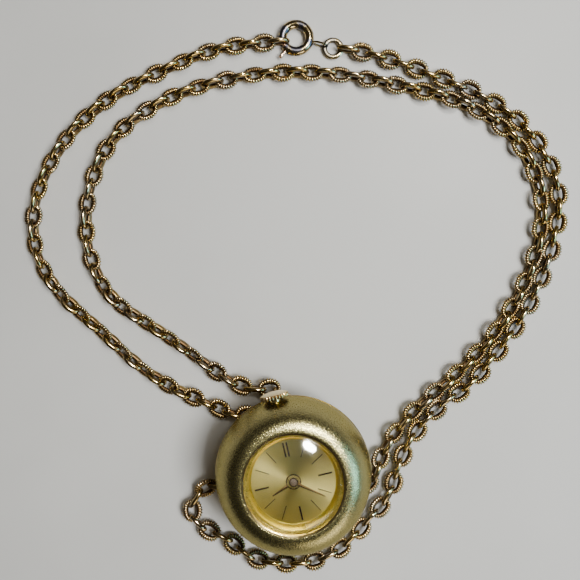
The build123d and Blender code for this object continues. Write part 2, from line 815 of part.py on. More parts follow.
def third_wheel():
    """Third wheel, driven by the centre wheel."""
    span = (THIRD_WHEEL_Z, PLATE_BOTTOM - FIT)
    return train_wheel(THIRD_AT, THIRD_R, THIRD_PINION_R, THIRD_WHEEL_Z, span)


def fourth_wheel():
    """Fourth wheel, driven by the third wheel."""
    span = (BRIDGE_TOP + FIT, FOURTH_WHEEL_Z)
    return train_wheel(FOURTH_AT, FOURTH_R, FOURTH_PINION_R, FOURTH_WHEEL_Z, span)


def escape_wheel():
    """Escape wheel with pointed teeth."""
    top = ESCAPE_WHEEL_Z + WHEEL_T
    piece = toothed(ESCAPE_R, ESCAPE_TEETH, 2 * DRIVE_TOOTH, ESCAPE_WHEEL_Z, top, ESCAPE_AT)
    piece += post(ESCAPE_PINION_R, top, PLATE_BOTTOM - FIT, ESCAPE_AT)
    return piece + post(PIVOT_R, ARBOR_SPAN[0], ESCAPE_WHEEL_Z, ESCAPE_AT)


def pallet_fork():
    """Pallet fork: two arms towards the escape wheel and a tail towards the balance."""
    top = ESCAPE_WHEEL_Z + WHEEL_T
    aim = atan2(BALANCE_AT[1] - PALLET_AT[1], BALANCE_AT[0] - PALLET_AT[0])
    tail = (PALLET_AT[0] + PALLET_TAIL * cos(aim), PALLET_AT[1] + PALLET_TAIL * sin(aim))
    across = (-sin(aim) * PALLET_ARM, cos(aim) * PALLET_ARM)
    ends = [(PALLET_AT[0] + s * across[0], PALLET_AT[1] + s * across[1]) for s in (1, -1)]
    piece = bar(*ends, WHEEL_T, WHEEL_T, ESCAPE_WHEEL_Z, top)
    piece += bar(PALLET_AT, tail, 2 * WHEEL_T, WHEEL_T, ESCAPE_WHEEL_Z, top)
    return piece + post(PIVOT_R, *ARBOR_SPAN, PALLET_AT)


def balance_wheel():
    """Balance: rim, two arms and staff."""
    top = BALANCE_Z + 2 * WHEEL_T
    rim = post(BALANCE_R, BALANCE_Z, top, BALANCE_AT, WHEEL_SIDES)
    rim -= post(BALANCE_R - BALANCE_RIM, BALANCE_Z, top, BALANCE_AT, HUB_SIDES)
    left = (BALANCE_AT[0] - BALANCE_R + BALANCE_RIM / 2, BALANCE_AT[1])
    right = (BALANCE_AT[0] + BALANCE_R - BALANCE_RIM / 2, BALANCE_AT[1])
    rim += bar(left, right, BALANCE_RIM, BALANCE_RIM, BALANCE_Z, top)
    staff = (BRIDGE_BOTTOM + BRIDGE_T / 2 + FIT, PLATE_BOTTOM - FIT)
    return rim + post(PIVOT_R, *staff, BALANCE_AT)


def hairspring():
    """Balance spring between the balance and its cock."""
    top = BALANCE_Z - FIT
    inner = PIVOT_R + HAIRSPRING_T
    return spiral(
        BALANCE_AT,
        inner,
        HAIRSPRING_R,
        HAIRSPRING_TURNS,
        HAIRSPRING_STEPS,
        HAIRSPRING_T,
        top - HAIRSPRING_T,
        top,
    )


def jewels():
    """Rubies set in the bridges and the cock."""
    stones = []
    for at in (THIRD_AT, FOURTH_AT, ESCAPE_AT, PALLET_AT, BALANCE_AT):
        stones.append(post(JEWEL_R, BRIDGE_BOTTOM - JEWEL_T, BRIDGE_BOTTOM, at))
    return Compound(stones)


def bridge_screws():
    """Screw heads over the bridges' feet and on the ratchet and crown wheels."""
    heads = []
    for at in BARREL_POSTS + TRAIN_POSTS + (COCK_POST,):
        heads.append(post(SCREW_HEAD_R, BRIDGE_BOTTOM - SCREW_HEAD_H, BRIDGE_BOTTOM, at))
    for at in (BARREL_AT, CROWN_WHEEL_AT):
        heads.append(post(SCREW_HEAD_R, DRIVE_BOTTOM - SCREW_HEAD_H, DRIVE_BOTTOM, at))
    return Compound(heads)


def crown():
    """Fluted crown with a bore over the tube and a tapped hole for the stem."""
    piece = toothed(CROWN_R, FLUTE_COUNT, FLUTE_DEPTH, 0, CROWN_T)
    piece -= post(CROWN_BORE_R, 0, CROWN_BORE_DEPTH, sides=TUBE_SIDES)
    piece -= post(STEM_R, CROWN_BORE_DEPTH, (CROWN_T + CROWN_BORE_DEPTH) / 2)
    return Pos(Y=CROWN_Y, Z=STEM_Z) * (Rot(X=-90) * piece)


def crown_tube():
    """Tube in the case wall that the stem runs through."""
    start = inner_radius(STEM_Z) - SKIRT_W / 2
    end = CROWN_Y + CROWN_BORE_DEPTH / 2
    profile = [(TUBE_BORE_R, start), (TUBE_R, start), (TUBE_R, end), (TUBE_BORE_R, end)]
    return on_stem(profile, TUBE_SIDES)


def winding_stem():
    """Stem from the crown through the winding pinion and the clutch to its pilot."""
    groove = STEM_GROOVE_W / 2
    return on_stem(
        [
            (0, STEM_END_Y),
            (STEM_PIVOT_R, STEM_END_Y),
            (STEM_PIVOT_R, CLUTCH_Y - CLUTCH_TRAVEL),
            (STEM_R, CLUTCH_Y - CLUTCH_TRAVEL),
            (STEM_R, STEM_GROOVE_Y - groove),
            (STEM_GROOVE_R, STEM_GROOVE_Y - groove),
            (STEM_GROOVE_R, STEM_GROOVE_Y + groove),
            (STEM_R, STEM_GROOVE_Y + groove),
            (STEM_R, CROWN_Y + (CROWN_T + CROWN_BORE_DEPTH) / 2),
            (0, CROWN_Y + (CROWN_T + CROWN_BORE_DEPTH) / 2),
        ],
        SCREW_SIDES,
    )


def winding_pinion():
    """Winding pinion on the stem, meshing with the crown wheel."""
    piece = toothed(PINION_R, PINION_TEETH, DRIVE_TOOTH, PINION_Y, PINION_Y + PINION_L)
    piece -= post(STEM_R + FIT, PINION_Y, PINION_Y + PINION_L)
    return Pos(Z=STEM_Z) * (Rot(X=-90) * piece)


def clutch():
    """Sliding clutch with the groove that the yoke runs in."""
    middle = CLUTCH_Y + CLUTCH_L / 2
    half = CLUTCH_GROOVE_W / 2
    bore = STEM_R + FIT
    return on_stem(
        [
            (bore, CLUTCH_Y),
            (CLUTCH_R, CLUTCH_Y),
            (CLUTCH_R, middle - half),
            (CLUTCH_GROOVE_R, middle - half),
            (CLUTCH_GROOVE_R, middle + half),
            (CLUTCH_R, middle + half),
            (CLUTCH_R, CLUTCH_Y + CLUTCH_L),
            (bore, CLUTCH_Y + CLUTCH_L),
        ],
        SCREW_SIDES,
    )


def setting_lever():
    """Setting lever, whose pin rides in the stem's groove."""
    bottom = STEM_Z + STEM_R + FIT
    nose = (0, STEM_GROOVE_Y)
    piece = bar(LEVER_AT, nose, 2 * LEVER_T, LEVER_T, bottom, bottom + LEVER_T)
    piece += post(LEVER_T, bottom, PLATE_BOTTOM, LEVER_AT)
    return piece + post(LEVER_PIN_R, STEM_Z + STEM_GROOVE_R + FIT, bottom, nose)


def yoke():
    """Yoke that moves the clutch, pivoted beside it."""
    bottom = STEM_Z - LEVER_T / 2
    nose = (YOKE_NOSE, CLUTCH_Y + CLUTCH_L / 2)
    piece = bar(YOKE_AT, nose, 2 * LEVER_T, LEVER_T / 2, bottom, bottom + LEVER_T)
    return piece + post(LEVER_T, bottom, PLATE_BOTTOM, YOKE_AT)


def bow():
    """Small staple under the crown that holds the chain's ring."""
    standing = (Align.CENTER, Align.CENTER, Align.MIN)
    low = 2 * BAIL_RING_R - BAIL_RING_WIRE - 2 * FIT - BOW_WIRE
    half = BAIL_RING_WIRE / 2 + 2 * FIT
    staple = Pos(0, BOW_Y, low) * Box(BOW_WIRE, 2 * (half + BOW_WIRE), BOW_WIRE, align=standing)
    for side in (-1, 1):
        y = BOW_Y + side * (half + BOW_WIRE / 2)
        height = underside(y) + BOW_SINK - low
        staple += Pos(0, y, low) * Box(BOW_WIRE, BOW_WIRE, height, align=standing)
    return staple


def underside(radius):
    """Height of the back shell's outside at a radius beyond the chain's arch."""
    flange_r = CASE_R + FLANGE_STEP
    if radius < BELLY_R:
        share = (radius - CHAIN_ARCH_R) / (BELLY_R - CHAIN_ARCH_R)
        return CHAIN_ARCH_Z + share * (BELLY_Z - CHAIN_ARCH_Z)
    share = (radius - BELLY_R) / (flange_r - BELLY_R)
    return BELLY_Z + share * (SEAM_Z - FLANGE_T - BELLY_Z)


def wire_ring(radius, wire, sides):
    """Ring of diamond-section wire lying flat at the origin."""
    half = wire / 2
    middle = radius - half
    return turned([(middle - half, 0), (middle, -half), (middle + half, 0), (middle, half)], sides)


def bail_ring():
    """Ring through the bow, standing upright across the chain."""
    ring = Rot(X=90) * wire_ring(BAIL_RING_R, BAIL_RING_WIRE, BAIL_RING_SIDES)
    return Pos(0, BOW_Y, BAIL_RING_R) * ring


def end_ring():
    """Round ring between the long strand and the clasp."""
    return Pos(*END_RING_AT, CLASP_Z) * wire_ring(END_RING_R, END_RING_WIRE, BAIL_RING_SIDES)


def clasp_round(radius):
    """Section of the clasp's tube or bolt, as (radius, height) points."""
    corners = ring_points(radius, CLASP_SIDES)
    return [(CLASP_R + x, y) for x, y in corners]


def clasp_arc(section, start, turn):
    """Piece bent round the clasp's middle from a section of (radius, height) points."""
    return turned(section, round(360.0 / CLASP_STEP_TURN), start, turn)


def clasp_tube():
    """Spring ring: bent tube with its gap, the slot of the knob and the bore of the bolt."""
    start = CLASP_GAP_START_TURN + CLASP_GAP_TURN
    turn = 360.0 - CLASP_GAP_TURN
    tube = clasp_arc(clasp_round(CLASP_TUBE_R), start, turn)
    tube -= clasp_arc(clasp_round(CLASP_BORE_R), start, turn)
    slot_reach = CLASP_R + CLASP_TUBE_R + FIT
    half = KNOB_R + FIT
    section = [(CLASP_R, -half), (slot_reach, -half), (slot_reach, half), (CLASP_R, half)]
    slot = clasp_arc(section, KNOB_TURN - KNOB_ROOM_TURN, CLASP_TRAVEL_TURN + 2 * KNOB_ROOM_TURN)
    return Pos(*CLASP_AT, CLASP_Z) * (tube - slot)


def clasp_bolt():
    """Bolt that closes the gap, with its thumb knob."""
    start = CLASP_GAP_START_TURN - CLASP_OVERLAP_TURN
    turn = KNOB_TURN + CLASP_STEP_TURN - start
    bolt = clasp_arc(clasp_round(CLASP_BOLT_R), start, turn)
    knob = Rot(Y=90) * post(KNOB_R, CLASP_R, CLASP_R + CLASP_TUBE_R + KNOB_H)
    return Pos(*CLASP_AT, CLASP_Z) * (bolt + Rot(Z=KNOB_TURN) * knob)


def clasp_spring():
    """Spring in the tube that pushes the bolt shut, as one thin sleeve."""
    start = KNOB_TURN + CLASP_STEP_TURN + CLASP_TRAVEL_TURN + SPRING_ROOM_TURN
    spring = clasp_arc(clasp_round(CLASP_BOLT_R), start, SPRING_TURN)
    return Pos(*CLASP_AT, CLASP_Z) * spring


def clasp_bail():
    """Fixed upright loop on the clasp that holds the end ring."""
    wire = CLASP_BAIL_WIRE
    reach = CLASP_R + CLASP_TUBE_R + CLASP_BAIL_L / 2 - wire / 2
    loop = Box(CLASP_BAIL_L, wire, CLASP_BAIL_H)
    loop -= Box(CLASP_BAIL_L - 2 * wire, wire, CLASP_BAIL_H - 2 * wire)
    return Pos(*CLASP_AT, CLASP_Z) * (Rot(Z=CLASP_BAIL_TURN) * (Pos(X=reach) * loop))


def ribbed_link():
    """One chain link lying flat along X: barrel outline, straight slot."""
    long, wide, end = LINK_L / 2, LINK_W / 2, LINK_END_W / 2
    outline = [(long, -end), (long, end), (0, wide), (-long, end), (-long, -end), (0, -wide)]
    body = slab(outline, -LINK_T / 2, LINK_T / 2)
    return body - Box(LINK_L - 2 * LINK_WIRE, LINK_SLOT_W, LINK_T)


def plain_link():
    """The oblong link between two ribbed ones."""
    return Box(LINK_L, LINK_W, LINK_T) - Box(LINK_L - 2 * LINK_WIRE, LINK_SLOT_W, LINK_T)


def route_wire(points):
    """Smooth line that runs from the first point to the last and is drawn towards the others."""
    places = [Vector(*p) for p in points]
    middles = [(a + b) / 2 for a, b in zip(places[1:-2], places[2:-1])]
    knots = [places[0]] + middles + [places[-1]]
    arcs = [Bezier(a, c, b) for a, c, b in zip(knots, places[1:-1], knots[1:])]
    return Wire([arc.edge() for arc in arcs])


def link_joints(points):
    """Places where one link bears on the next, an even number of links along the route."""
    line = route_wire(points)
    count = 2 * round(line.length / LINK_PITCH / 2)
    step = line.length / count
    print("strand", round(line.length, 1), "mm,", count, "links, pitch", round(step, 3))
    return [line.position_at(i * step, position_mode=PositionMode.LENGTH) for i in range(count + 1)]


def strand(points):
    """Links along a route, as (ribbed links that show their face, plain links that stand on edge)."""
    joints = link_joints(points)
    shapes = (ribbed_link(), plain_link())
    rows = ([], [])
    count = len(joints) - 1
    for i, (a, b) in enumerate(zip(joints, joints[1:])):
        ahead = (b - a).normalized()
        across = Vector(0, 0, 1).cross(ahead).normalized()
        upright = ahead.cross(across)
        ends = min(i, count - 1 - i)
        roll = radians(FACE_TURN * min(1.0, ends / RUN_IN_COUNT) + 90.0 * (i % 2))
        facing = upright * cos(roll) + across * sin(roll)
        place = Plane(origin=(a + b) / 2, x_dir=ahead, z_dir=facing)
        rows[i % 2].append(place.location * shapes[i % 2])
    return rows


def fold_link():
    """The one link that stands in the ring under the crown, where the chain turns back."""
    place = Plane(origin=(0, BOW_Y, FOLD_Z), x_dir=(0, 1, 0), z_dir=(1, 0, 0))
    return place.location * ribbed_link()


def chain():
    """Both strands of the chain, their ribbed and plain links apart, and the fold link."""
    short_ribbed, short_plain = strand(SHORT_ROUTE)
    long_ribbed, long_plain = strand(LONG_ROUTE)
    return {
        "short_strand_ribbed_links": Compound(short_ribbed),
        "short_strand_plain_links": Compound(short_plain),
        "long_strand_ribbed_links": Compound(long_ribbed),
        "long_strand_plain_links": Compound(long_plain),
        "fold_link": fold_link(),
    }


PIECES = (
    front_shell,
    back_shell,
    crystal,
    dial_ring,
    dial,
    hour_markers,
    hour_hand,
    minute_hand,
    movement_ring,
    case_screws,
    main_plate,
    barrel_bridge,
    train_bridge,
    balance_cock,
    barrel,
    mainspring,
    barrel_arbor,
    ratchet_wheel,
    crown_wheel,
    click,
    click_spring,
    centre_wheel,
    cannon_pinion,
    minute_wheel,
    hour_wheel,
    setting_wheel,
    third_wheel,
    fourth_wheel,
    escape_wheel,
    pallet_fork,
    balance_wheel,
    hairspring,
    jewels,
    bridge_screws,
    crown,
    crown_tube,
    winding_stem,
    winding_pinion,
    clutch,
    setting_lever,
    yoke,
    bow,
    bail_ring,
    end_ring,
    clasp_tube,
    clasp_bolt,
    clasp_spring,
    clasp_bail,
)


def main():
    os.makedirs("parts", exist_ok=True)
    for piece in PIECES:
        export_step(piece(), f"parts/{piece.__name__}.step")
    for name, shape in chain().items():
        export_step(shape, f"parts/{name}.step")


main()
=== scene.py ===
"""Looks of a ball-shaped pendant watch that lies on its back with its cable chain round it.

Metres, in the watch's own frame: the origin is the middle of the flat back, +Z runs up out of the
dial and +Y points to twelve o'clock. Every piece stands where the solid part has it.
"""

import json
import random
from math import atan2, cos, hypot, pi, radians, sin

import bmesh
import bpy
from bpy.props import FloatProperty, FloatVectorProperty, IntProperty, PointerProperty
from mathutils import Matrix, Vector


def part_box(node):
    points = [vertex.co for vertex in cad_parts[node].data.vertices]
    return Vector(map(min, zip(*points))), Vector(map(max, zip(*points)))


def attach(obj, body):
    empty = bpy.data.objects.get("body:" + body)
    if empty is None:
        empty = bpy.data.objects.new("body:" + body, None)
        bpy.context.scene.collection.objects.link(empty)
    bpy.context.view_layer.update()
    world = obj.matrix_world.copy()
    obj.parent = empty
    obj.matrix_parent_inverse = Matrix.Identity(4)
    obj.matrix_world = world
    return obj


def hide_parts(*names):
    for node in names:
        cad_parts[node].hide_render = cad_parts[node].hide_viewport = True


bl_info = {
    "name": "Pendant watch on a cable chain",
    "version": (1, 0, 0),
    "blender": (4, 5, 0),
    "location": "View3D > Sidebar > Watch",
    "description": "Builds a ball-shaped pendant watch, its crown, clasp and chain of ribbed links",
    "category": "Object",
}

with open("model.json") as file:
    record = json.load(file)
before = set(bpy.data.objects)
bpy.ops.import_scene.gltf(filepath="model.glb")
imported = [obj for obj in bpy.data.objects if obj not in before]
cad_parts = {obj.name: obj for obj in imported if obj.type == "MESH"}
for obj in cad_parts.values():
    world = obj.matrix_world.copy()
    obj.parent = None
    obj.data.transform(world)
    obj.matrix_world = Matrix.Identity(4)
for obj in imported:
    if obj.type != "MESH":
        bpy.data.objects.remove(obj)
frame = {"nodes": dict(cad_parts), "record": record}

MM = 0.001
MERGE = 1e-7
CASE = "case"
SHELL_LOW, SHELL_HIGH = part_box("front_shell")
BACK_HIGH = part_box("back_shell")[1]
CRYSTAL_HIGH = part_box("crystal")[1]
RING_LOW, RING_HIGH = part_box("dial_ring")
CROWN_LOW, CROWN_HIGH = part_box("crown")
HOUR_LOW, HOUR_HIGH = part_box("hour_hand")
MINUTE_LOW, MINUTE_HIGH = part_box("minute_hand")
BAIL_LOW, BAIL_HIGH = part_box("bail_ring")
BOW_LOW, BOW_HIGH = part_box("bow")
END_LOW, END_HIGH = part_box("end_ring")
STEM_Z = (CROWN_LOW.z + CROWN_HIGH.z) / 2
BOW_Y = (BAIL_LOW.y + BAIL_HIGH.y) / 2


# Settings that a user would change


def length(name, about, default):
    return FloatProperty(name=name, description=about, default=default, unit="LENGTH", precision=5)


def angle(name, about, default):
    return FloatProperty(name=name, description=about, default=radians(default), unit="ROTATION")


def colour(name, about, default):
    return FloatVectorProperty(
        name=name, description=about, default=default, subtype="COLOR", min=0, max=1
    )


def count(name, about, default):
    return IntProperty(name=name, description=about, default=default, min=3)


class CaseSettings(bpy.types.PropertyGroup):
    radius: length("Radius", "Widest radius of the domed front", SHELL_HIGH.x)
    seam: length("Seam height", "Where the two shells meet", SHELL_LOW.z)
    crest: length("Crest height", "Top of the dome", SHELL_HIGH.z)
    crest_radius: length("Crest radius", "Radius at which the dome is highest", 9.3 * MM)
    aperture: length("Aperture radius", "Opening for the crystal", 8.6 * MM)
    bevel: length("Bevel", "Polished bevel round the opening", 0.46 * MM)
    aperture_drop: length("Aperture drop", "How far the rim falls inwards", 0.3 * MM)
    wall: length("Wall", "Thickness of the shells", 0.75 * MM)
    flange: length("Flange height", "Height of the polished seam line", 0.35 * MM)
    flat_radius: length("Flat radius", "Radius of the flat back", 8.4 * MM)
    gilt: colour("Gilt", "Sandblasted champagne gilt", (0.36, 0.315, 0.14))
    polish: colour("Polished gilt", "Polished gilt of the rims", (0.86, 0.66, 0.28))


class DialSettings(bpy.types.PropertyGroup):
    view_radius: length("View radius", "Radius of dial inside the ring", 7.4 * MM)
    crystal_rise: length("Crystal rise", "Height of the crystal's dome", 1.75 * MM)
    crystal_wall: length("Crystal wall", "Thickness of the crystal", 0.3 * MM)
    gold: colour("Gold", "Sunray dial", (0.93, 0.79, 0.29))
    ring: colour("Ring", "Polished ring round the dial", (0.88, 0.69, 0.14))
    dark: colour("Dark", "Hour lines", (0.045, 0.032, 0.022))


class HandSettings(bpy.types.PropertyGroup):
    hour_length: length("Hour length", "From the middle to the tip", 4.4 * MM)
    hour_boss: length("Hour boss", "Radius of the hour hand's disc", 1.36 * MM)
    minute_length: length("Minute length", "From the middle to the tip", 6.1 * MM)
    minute_boss: length("Minute boss", "Radius of the minute hand's disc", 0.8 * MM)
    width: length("Width", "Width of a hand beside its disc", 0.6 * MM)
    # Painted shade: the dark outlines and the shaded sides of the hands; the bronze is on the sides
    # towards the light
    dark: colour("Dark", "Outlines and the shaded side of the hands", (0.03, 0.02, 0.012))
    bronze: colour("Bronze", "Hour hand and the lit side of the minute hand", (0.34, 0.215, 0.085))
    hour_turn: angle("Hour turn", "Direction of the hour hand, from three o'clock", 201)
    minute_turn: angle("Minute turn", "Direction of the minute hand, from three o'clock", -37)


class CrownSettings(bpy.types.PropertyGroup):
    radius: length("Radius", "Radius over the flutes", 2.6 * MM)
    flutes: count("Flutes", "Flutes round the crown", 26)
    flute_depth: length("Flute depth", "Depth of a flute", 0.2 * MM)
    dome: length("Dome", "Rise of the crown's end", 0.5 * MM)
    tube_radius: length("Tube radius", "Tube between crown and case", 0.95 * MM)


class ChainSettings(bpy.types.PropertyGroup):
    link_length: length("Link length", "Length over a link", 4.6 * MM)
    link_width: length("Link width", "Width over a ribbed link", 4.0 * MM)
    plain_width: length("Plain link width", "Width over a plain link", 3.15 * MM)
    wire: length("Wire", "Thickness of a link's wire", 0.92 * MM)
    side_wire: length("Side wire", "Breadth of the wire along a link's sides", 1.3 * MM)
    pitch: length("Pitch", "Chain length that a link adds", 2.75 * MM)
    ribs: count("Ribs", "Milled ribs round a link", 25)
    rib_depth: length("Rib depth", "Depth between two ribs", 0.17 * MM)
    face_turn: angle("Face turn", "Lean of the links that show their face", 15)
    roll: angle("Roll", "Further lean of the links at the lower left", 26)
    roll_from: length("Roll from", "Where the roll starts, towards twelve o'clock", 16 * MM)
    roll_to: length("Roll to", "Where the roll ends, towards twelve o'clock", 50 * MM)
    roll_over: length("Roll over", "Length in which the roll grows to its full angle", 8 * MM)
    sway: angle("Sway", "Most that a link rolls from its place", 9)
    gold: colour("Gold", "Worn gold on the high places", (0.59, 0.41, 0.14))
    # Painted shade as well as tarnish: this colour darkens the rib valleys and the insides of the
    # links
    recess: colour("Recess", "Brown tarnish between the ribs", (0.06, 0.033, 0.014))


class ClaspSettings(bpy.types.PropertyGroup):
    ring_radius: length("Ring radius", "Middle of the bent tube", 2.6 * MM)
    tube: length("Tube", "Radius of the bent tube", 0.85 * MM)
    bolt: length("Bolt", "Radius of the bolt", 0.35 * MM)
    gap_start: angle("Gap start", "Where the gap of the tube starts", 172)
    gap_turn: angle("Gap turn", "How wide the gap is", 34)
    knob_turn: angle("Knob turn", "Where the knob stands when shut", 218)
    travel: angle("Travel", "How far the knob slides", 42)
    loop_turn: angle("Loop turn", "Where the fixed loop stands", -27.7)
    gold: colour("Gold", "Polished gilt of the clasp", (0.56, 0.43, 0.22))


class StageSettings(bpy.types.PropertyGroup):
    camera_height: length("Camera height", "Height over the table", 145 * MM)
    camera_x: length("Camera across", "Place beside the watch", 7.2 * MM)
    camera_y: length("Camera along", "Place towards twelve o'clock", 32.9 * MM)
    camera_turn: angle("Camera turn", "Turn of the picture", -13.4)
    focal: FloatProperty(name="Focal length", description="In millimetres", default=46.303, min=1)
    table: colour("Table", "Pale table top", (0.63, 0.63, 0.61))


GROUPS = {
    "watch_case": CaseSettings,
    "watch_dial": DialSettings,
    "watch_hands": HandSettings,
    "watch_crown": CrownSettings,
    "watch_chain": ChainSettings,
    "watch_clasp": ClaspSettings,
    "watch_stage": StageSettings,
}

# Height of the chain's middle, over the table and in the ring under the crown, where each strand's
# first points lie, and the strands' ways over the table, in millimetres
LINK_Z = 1.68
FOLD_Z = 2.3
FOLD_POINTS = 2
SHORT_ROUTE = (
    (0.3, 11.3), (-4.6, 11.2), (-9.0, 11.9), (-13.4, 15.6), (-18.6, 19.2), (-24.6, 25.4),
    (-30.0, 33.9), (-36.5, 42.5), (-39.1, 52.0), (-36.5, 62.0), (-28.5, 71.3), (-18.0, 77.2),
    (-7.0, 79.6), (3.0, 81.4), (11.0, 80.7), (17.4, 79.62),
)
LONG_ROUTE = (
    (0.34, 15.35), (-4.6, 15.6), (-9.8, 20.2), (-15.8, 27.6), (-21.8, 33.8), (-27.2, 39.6),
    (-29.2, 49.5), (-26.4, 60.5), (-19.6, 69.6), (-8.5, 74.2), (3.5, 75.3), (15.5, 74.2),
    (26.8, 70.9), (37.3, 66.0), (47.2, 61.0), (55.4, 53.2), (58.7, 44.0), (57.8, 34.4),
    (52.3, 24.4), (43.6, 15.5), (34.0, 9.3), (25.6, 5.4), (17.8, -0.3), (14.4, -6.6),
    (8.9, -9.3), (4.2, -12.0), (-1.4, -12.8), (-7.0, -10.8), (-11.3, -7.0), (-12.0, -4.0),
    (-12.5, -1.3), (-14.7, 0.3), (-17.9, -0.2), (-20.9, -2.4), (-21.3, -5.8), (-18.7, -8.6),
    (-14.6, -11.4), (-12.6, -15.4), (-6.6, -17.8), (-0.4, -19.1), (6.4, -17.4), (11.6, -13.4),
    (16.9, -10.2), (19.7, -4.1), (25.6, 2.2), (32.0, 5.5), (36.8, 7.1), (44.5, 13.1),
    (50.5, 18.4), (56.7, 26.5), (61.3, 35.5), (62.1, 43.6), (59.0, 52.8), (51.9, 61.0),
    (42.7, 67.3), (33.4, 73.4), (27.55, 75.83),
)


# Shaping by hand


def deselect():
    bpy.ops.object.select_all(action="DESELECT")


def only(piece):
    """Makes one piece the selected and active one."""
    deselect()
    piece.select_set(True)
    bpy.context.view_layer.objects.active = piece


def edit(piece):
    only(piece)
    bpy.ops.object.mode_set(mode="EDIT")


def leave_edit():
    bpy.ops.object.mode_set(mode="OBJECT")


def choose_all():
    bpy.ops.mesh.select_all(action="SELECT")


def choose(test):
    """Selects the vertices of the mesh being edited for which the test of their place holds."""
    bpy.ops.mesh.select_mode(type="VERT")
    bpy.ops.mesh.select_all(action="DESELECT")
    mesh = bmesh.from_edit_mesh(bpy.context.object.data)
    for vertex in mesh.verts:
        vertex.select_set(bool(test(vertex.co)))
    mesh.select_flush(True)
    bmesh.update_edit_mesh(bpy.context.object.data)


def close_up():
    """Merges doubles, turns the faces outwards and leaves edit mode."""
    choose_all()
    bpy.ops.mesh.remove_doubles(threshold=MERGE)
    bpy.ops.mesh.normals_make_consistent(inside=False)
    leave_edit()


def settle(piece):
    """Puts the piece's place into its mesh, so that its object sits at the origin."""
    only(piece)
    bpy.ops.object.transform_apply(location=True, rotation=True, scale=True)


def added():
    """The piece that was just added, with its place put into its mesh."""
    piece = bpy.context.object
    settle(piece)
    return piece


def off_axis(place):
    return hypot(place.x, place.y)


def apply(piece, kind, **values):
    """Adds a modifier and applies it."""
    only(piece)
    modifier = piece.modifiers.new(kind.title(), kind)
    for name, value in values.items():
        setattr(modifier, name, value)
    bpy.ops.object.modifier_apply(modifier=modifier.name)


def smooth(piece, limit=32):
    only(piece)
    bpy.ops.object.shade_smooth_by_angle(angle=radians(limit))


def turned(rings, sides, closed=False, pole=False):
    """Piece drawn up about Z from (radius, height) rings, closed on itself or to a pole."""
    deselect()
    radius, height = rings[0]
    bpy.ops.mesh.primitive_circle_add(vertices=sides, radius=radius, location=(0, 0, height))
    piece = added()
    edit(piece)
    choose_all()
    steps = list(rings[1:])
    if closed:
        steps.append(rings[0])
    if pole:
        steps.append((0, rings[-1][1]))
    for next_radius, next_height in steps:
        rise = next_height - height
        bpy.ops.mesh.extrude_region_move(TRANSFORM_OT_translate={"value": (0, 0, rise)})
        scale = next_radius / radius
        bpy.ops.transform.resize(value=(scale, scale, 1), center_override=(0, 0, next_height))
        radius, height = next_radius, next_height
    close_up()
    return piece


def arc(centre, radii, start, end, steps):
    """Points of an ellipse's arc, as (radius, height)."""
    turns = [radians(start + (end - start) * i / steps) for i in range(steps + 1)]
    return [(centre[0] + radii[0] * cos(t), centre[1] + radii[1] * sin(t)) for t in turns]


def ring(radius, wire, at, rotation=(0, 0, 0), sides=56, wire_sides=14):
    """Round ring of wire; radius is to the middle of the wire."""
    deselect()
    bpy.ops.mesh.primitive_torus_add(
        major_radius=radius,
        minor_radius=wire / 2,
        major_segments=sides,
        minor_segments=wire_sides,
        location=at,
        rotation=rotation,
    )
    return added()


def rod(radius, start, end, sides=20, bevel=0.0):
    """Round rod between two places, with softened ends."""
    start, end = Vector(start), Vector(end)
    deselect()
    bpy.ops.mesh.primitive_cylinder_add(
        vertices=sides,
        radius=radius,
        depth=(end - start).length,
        location=(start + end) / 2,
        rotation=(end - start).to_track_quat("Z", "Y").to_euler(),
    )
    piece = added()
    if bevel:
        apply(piece, "BEVEL", width=bevel, segments=3, limit_method="ANGLE")
    return piece


def joined(pieces):
    """One piece out of several."""
    deselect()
    for piece in pieces:
        piece.select_set(True)
    bpy.context.view_layer.objects.active = pieces[0]
    bpy.ops.object.join()
    return pieces[0]


def hang(piece, name, body, materials, nodes=(), limit=32):
    """Names and dresses a finished piece, shades it and hangs it on its body."""
    piece.name = name
    piece.data.name = name
    for material in materials:
        piece.data.materials.append(material)
    if limit:
        smooth(piece, limit)
    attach(piece, body)
    if nodes:
        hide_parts(*nodes)
    return piece


def paint(piece, test, index):
    """Gives faces whose middle passes the test the material of that index."""
    for face in piece.data.polygons:
        if test(face.center):
            face.material_index = index


def note(piece, name, value):
    """Stores a number on every vertex, worked out from its place."""
    layer = piece.data.attributes.new(name, "FLOAT", "POINT")
    for vertex, item in zip(piece.data.vertices, layer.data):
        item.value = value(vertex.co)


# Finishes

# Span in which most values of a noise lie
MIDDLE = (0.35, 0.65)


